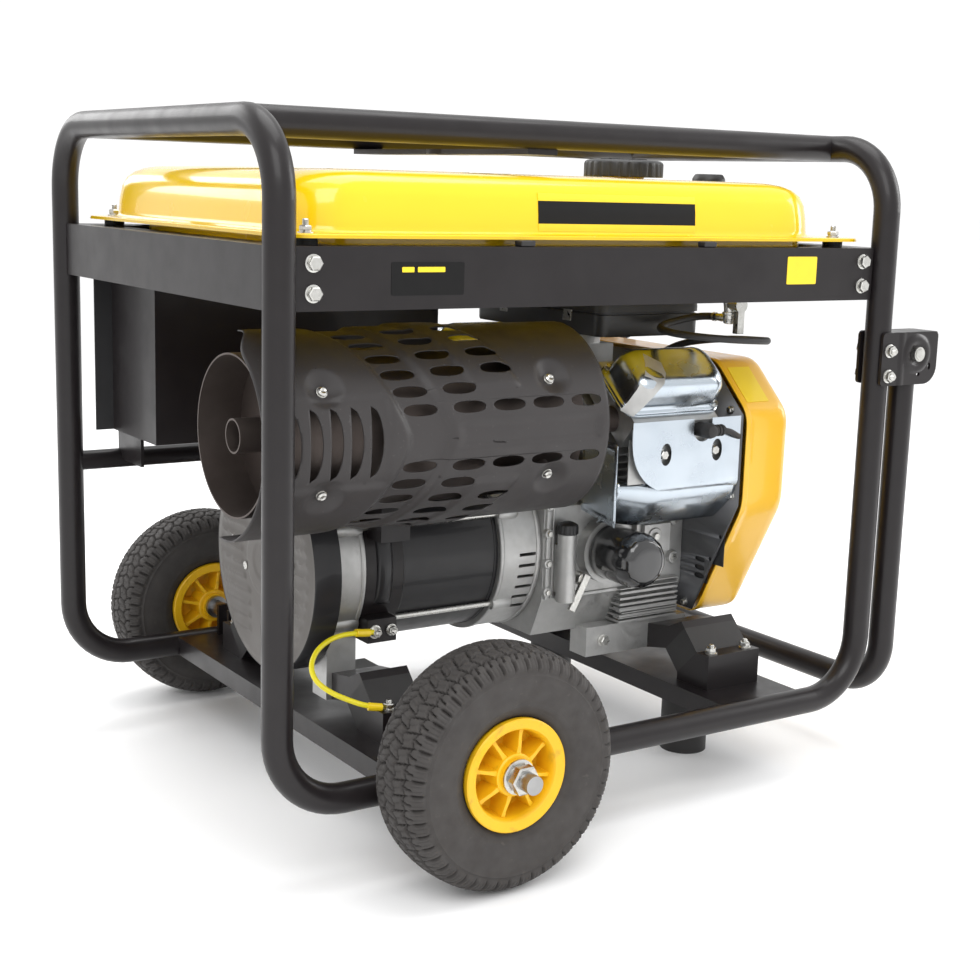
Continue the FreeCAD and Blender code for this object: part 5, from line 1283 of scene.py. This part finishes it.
def fuel_tap():
    """The tap under the tank: a hexagon, a cast body, a bowl and a hose clamp."""
    build = Build()
    body = [(561.2, 4), (562, 6.6), (564, 7.4), (572, 7.6), (573, 8.8), (575.5, 8.8), (576, 7), (580, 7.2),
            (590, 8.6),
            (600, 8.6), (602, 6.4), (606, 6.4), (612.8, 6.4)]
    build.lathe("z", (TAP_X, TAP_Y), body, 36)
    build.lathe("z", (TAP_X, TAP_Y), [(603.4, 8.9), (610.8, 8.9)], 6)
    build.lathe("y", (TAP_X, 585), [(-218, 7.4), (-229.6, 7.4)], 28)
    build.lathe("y", (TAP_X, 568), [(-218, 4.6), (-206, 4.6), (-205, 5.0), (-196.2, 4.2)], 24)
    build.piece("fuel_tap_body", BOLT, replaces=("fuel_valve_body",))
    clamp = Build()
    clamp.lathe("y", (TAP_X, 568), [(-193.5, 5.1), (-193.5, 5.6), (-190.5, 5.6), (-190.5, 5.1)], 28,
                closed=True)
    clamp.lathe("x", (-30, 474), [(626, 5.1), (626, 5.6), (629, 5.6), (629, 5.1)], 28, closed=True)
    clamp.piece("hose_clamps", BOLT)


def panel_details():
    """Socket faces, a meter window, a breaker surround and panel screws on the far side."""
    dark, pale, metal = Build(), Build(), Build()
    for x in (95, 175):
        for z in (525, 553):
            pale.lathe("y", (x, z), [(261.6, 12.4), (262.0, 12.4), (262.0, 11.2), (261.7, 11.0), (261.7, 1)],
                       40)
            for dx in (-4, 4):
                dark.box(x + dx - 0.9, x + dx + 0.9, 261.4, 262.0, z - 1.6, z + 5.6)
            dark.lathe("y", (x, z - 5.4), [(261.4, 2.1), (262.0, 2.1)], 20)
    pale.lathe("y", (266, 539), [(266.4, 26), (267, 26), (267, 23.4), (266.5, 23), (266.5, 1)], 48)
    for number in range(4):
        dark.turn = Matrix.Translation((266, 0, 539)) @ Matrix.Rotation(radians(90 * number + 20), 4, "Y")
        dark.box(11, 14, 266.2, 266.9, -5, 5)
    dark.turn = Matrix()
    dark.box(238, 282, 258.6, 259.0, 434, 454)
    for x, z in ((26, 412), (26, 497), (26, 582), (444, 412), (444, 497), (444, 582)):
        metal.lathe("y", (x, z), [(253, 4.4), (254.6, 4.2), (255.2, 2.8), (255.2, 1)], 24)
    for x, z in ((72, 514), (120, 564), (150, 514), (200, 564)):
        metal.lathe("y", (x, z), [(261.8, 2.4), (262.2, 1.8)], 16)
    metal.lathe("y", (360, 444), [(253, 14), (255, 14), (255.6, 12.8), (255.6, 10)], 40)
    metal.lathe("y", (80, 444), [(253, 12), (255, 12), (255.4, 10.6), (255.4, 6)], 36)
    pale.piece("socket_faces", GREY)
    dark.piece("socket_slots", BLACK_LABEL, 30)
    metal.piece("panel_screws", BOLT)


end_cover()
alternator_trim()
handle_brackets()
labels()
beam_bumpers()
air_box()
fuel_tap()
panel_details()


# ---------------------------------------------------------------- cords
EARTH_ROUTE = [(212, -118, 207), (186, -119, 210), (158, -122, 210), (132, -132, 203), (115, -146, 190),
               (113, -160, 176), (125, -174, 164), (144, -186, 155), (160, -196, 149), (177, -200, 146.2)]
HOSE_ROUTE = [(640, -196, 568), (640, -174, 568), (623, -152, 562), (594, -150, 556), (571, -170, 553),
              (563, -202, 551), (576, -236, 549), (608, -259, 547), (646, -263, 545), (682, -246, 542),
              (700, -212, 539), (698, -170, 537), (687, -130, 533), (667, -96, 525), (657, -66, 507),
              (654, -42, 486), (643, -30, 474), (622, -30, 474)]


def held_cord(name, route, radius, material):
    """A lead or hose between two fittings, over its plain CAD tube."""
    points = placed(route)
    piece = tube(name, points, radius, "machine", material, order=3)
    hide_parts(name)
    piece.name = name + "_line"
    return piece


held_cord("earth_lead", EARTH_ROUTE, 0.003, LEAD)
held_cord("fuel_hose", HOSE_ROUTE, 0.0045, RUBBER)


# ---------------------------------------------------------------- stage
def studio():
    """A flat pale floor, soft lights and a pale world."""
    look = Look("pale_floor", (0.95, 0.95, 0.95), 0.6)
    look.colour((0.95, 0.95, 0.95), (0.94, 0.94, 0.942), look.noise(3, 2))
    bm = bmesh.new()
    bmesh.ops.create_grid(bm, x_segments=2, y_segments=2, size=60)
    mesh = bpy.data.meshes.new("floor")
    bm.to_mesh(mesh)
    bm.free()
    ground = bpy.data.objects.new("floor", mesh)
    bpy.context.scene.collection.objects.link(ground)
    mesh.materials.append(look.material)
    world = bpy.data.worlds.new("studio")
    bpy.context.scene.world = world
    world.use_nodes = True
    background = world.node_tree.nodes["Background"]
    background.inputs["Color"].default_value = (1.0, 1.0, 1.0, 1)
    background.inputs["Strength"].default_value = 1.08
    lights = (
        ("key", (-1.6, -2.6, 3.0), 2.2, 60), ("top", (0.3, 0.2, 3.6), 2.6, 60),
        ("side", (3.2, -1.0, 1.6), 1.6, 40), ("rear", (-1.2, 3.0, 2.2), 2.0, 40),
    )
    for name, spot, side, power in lights:
        data = bpy.data.lights.new(name, "AREA")
        data.shape = "SQUARE"
        data.size = side
        data.energy = power
        light = bpy.data.objects.new(name, data)
        bpy.context.scene.collection.objects.link(light)
        light.location = spot
        light.rotation_euler = (Vector((0, 0, 0.4)) - Vector(spot)).to_track_quat("-Z", "Y").to_euler()


def camera():
    """The view from the wheel end of the near side, as solved from the frame's tubes."""
    yaw, pitch, roll = 0.5905, -0.1894, 0.0296
    ahead = Vector((sin(yaw) * cos(pitch), cos(yaw) * cos(pitch), sin(pitch)))
    right = Vector((cos(yaw), -sin(yaw), 0))
    up = right.cross(ahead)
    right_rolled = right * cos(roll) + up * sin(roll)
    up_rolled = up * cos(roll) - right * sin(roll)
    data = bpy.data.cameras.new("camera")
    data.sensor_width = 36
    data.lens = 58.68
    data.clip_start = 0.05
    data.clip_end = 60
    eye = bpy.data.objects.new("camera", data)
    bpy.context.scene.collection.objects.link(eye)
    turn = Matrix((right_rolled, up_rolled, -ahead)).transposed().to_4x4()
    eye.matrix_world = Matrix.Translation(Vector((-1.11295, -1.66765, 0.71924))) @ turn
    bpy.context.scene.camera = eye
    bpy.context.scene.view_settings.view_transform = "Standard"


studio()
camera()
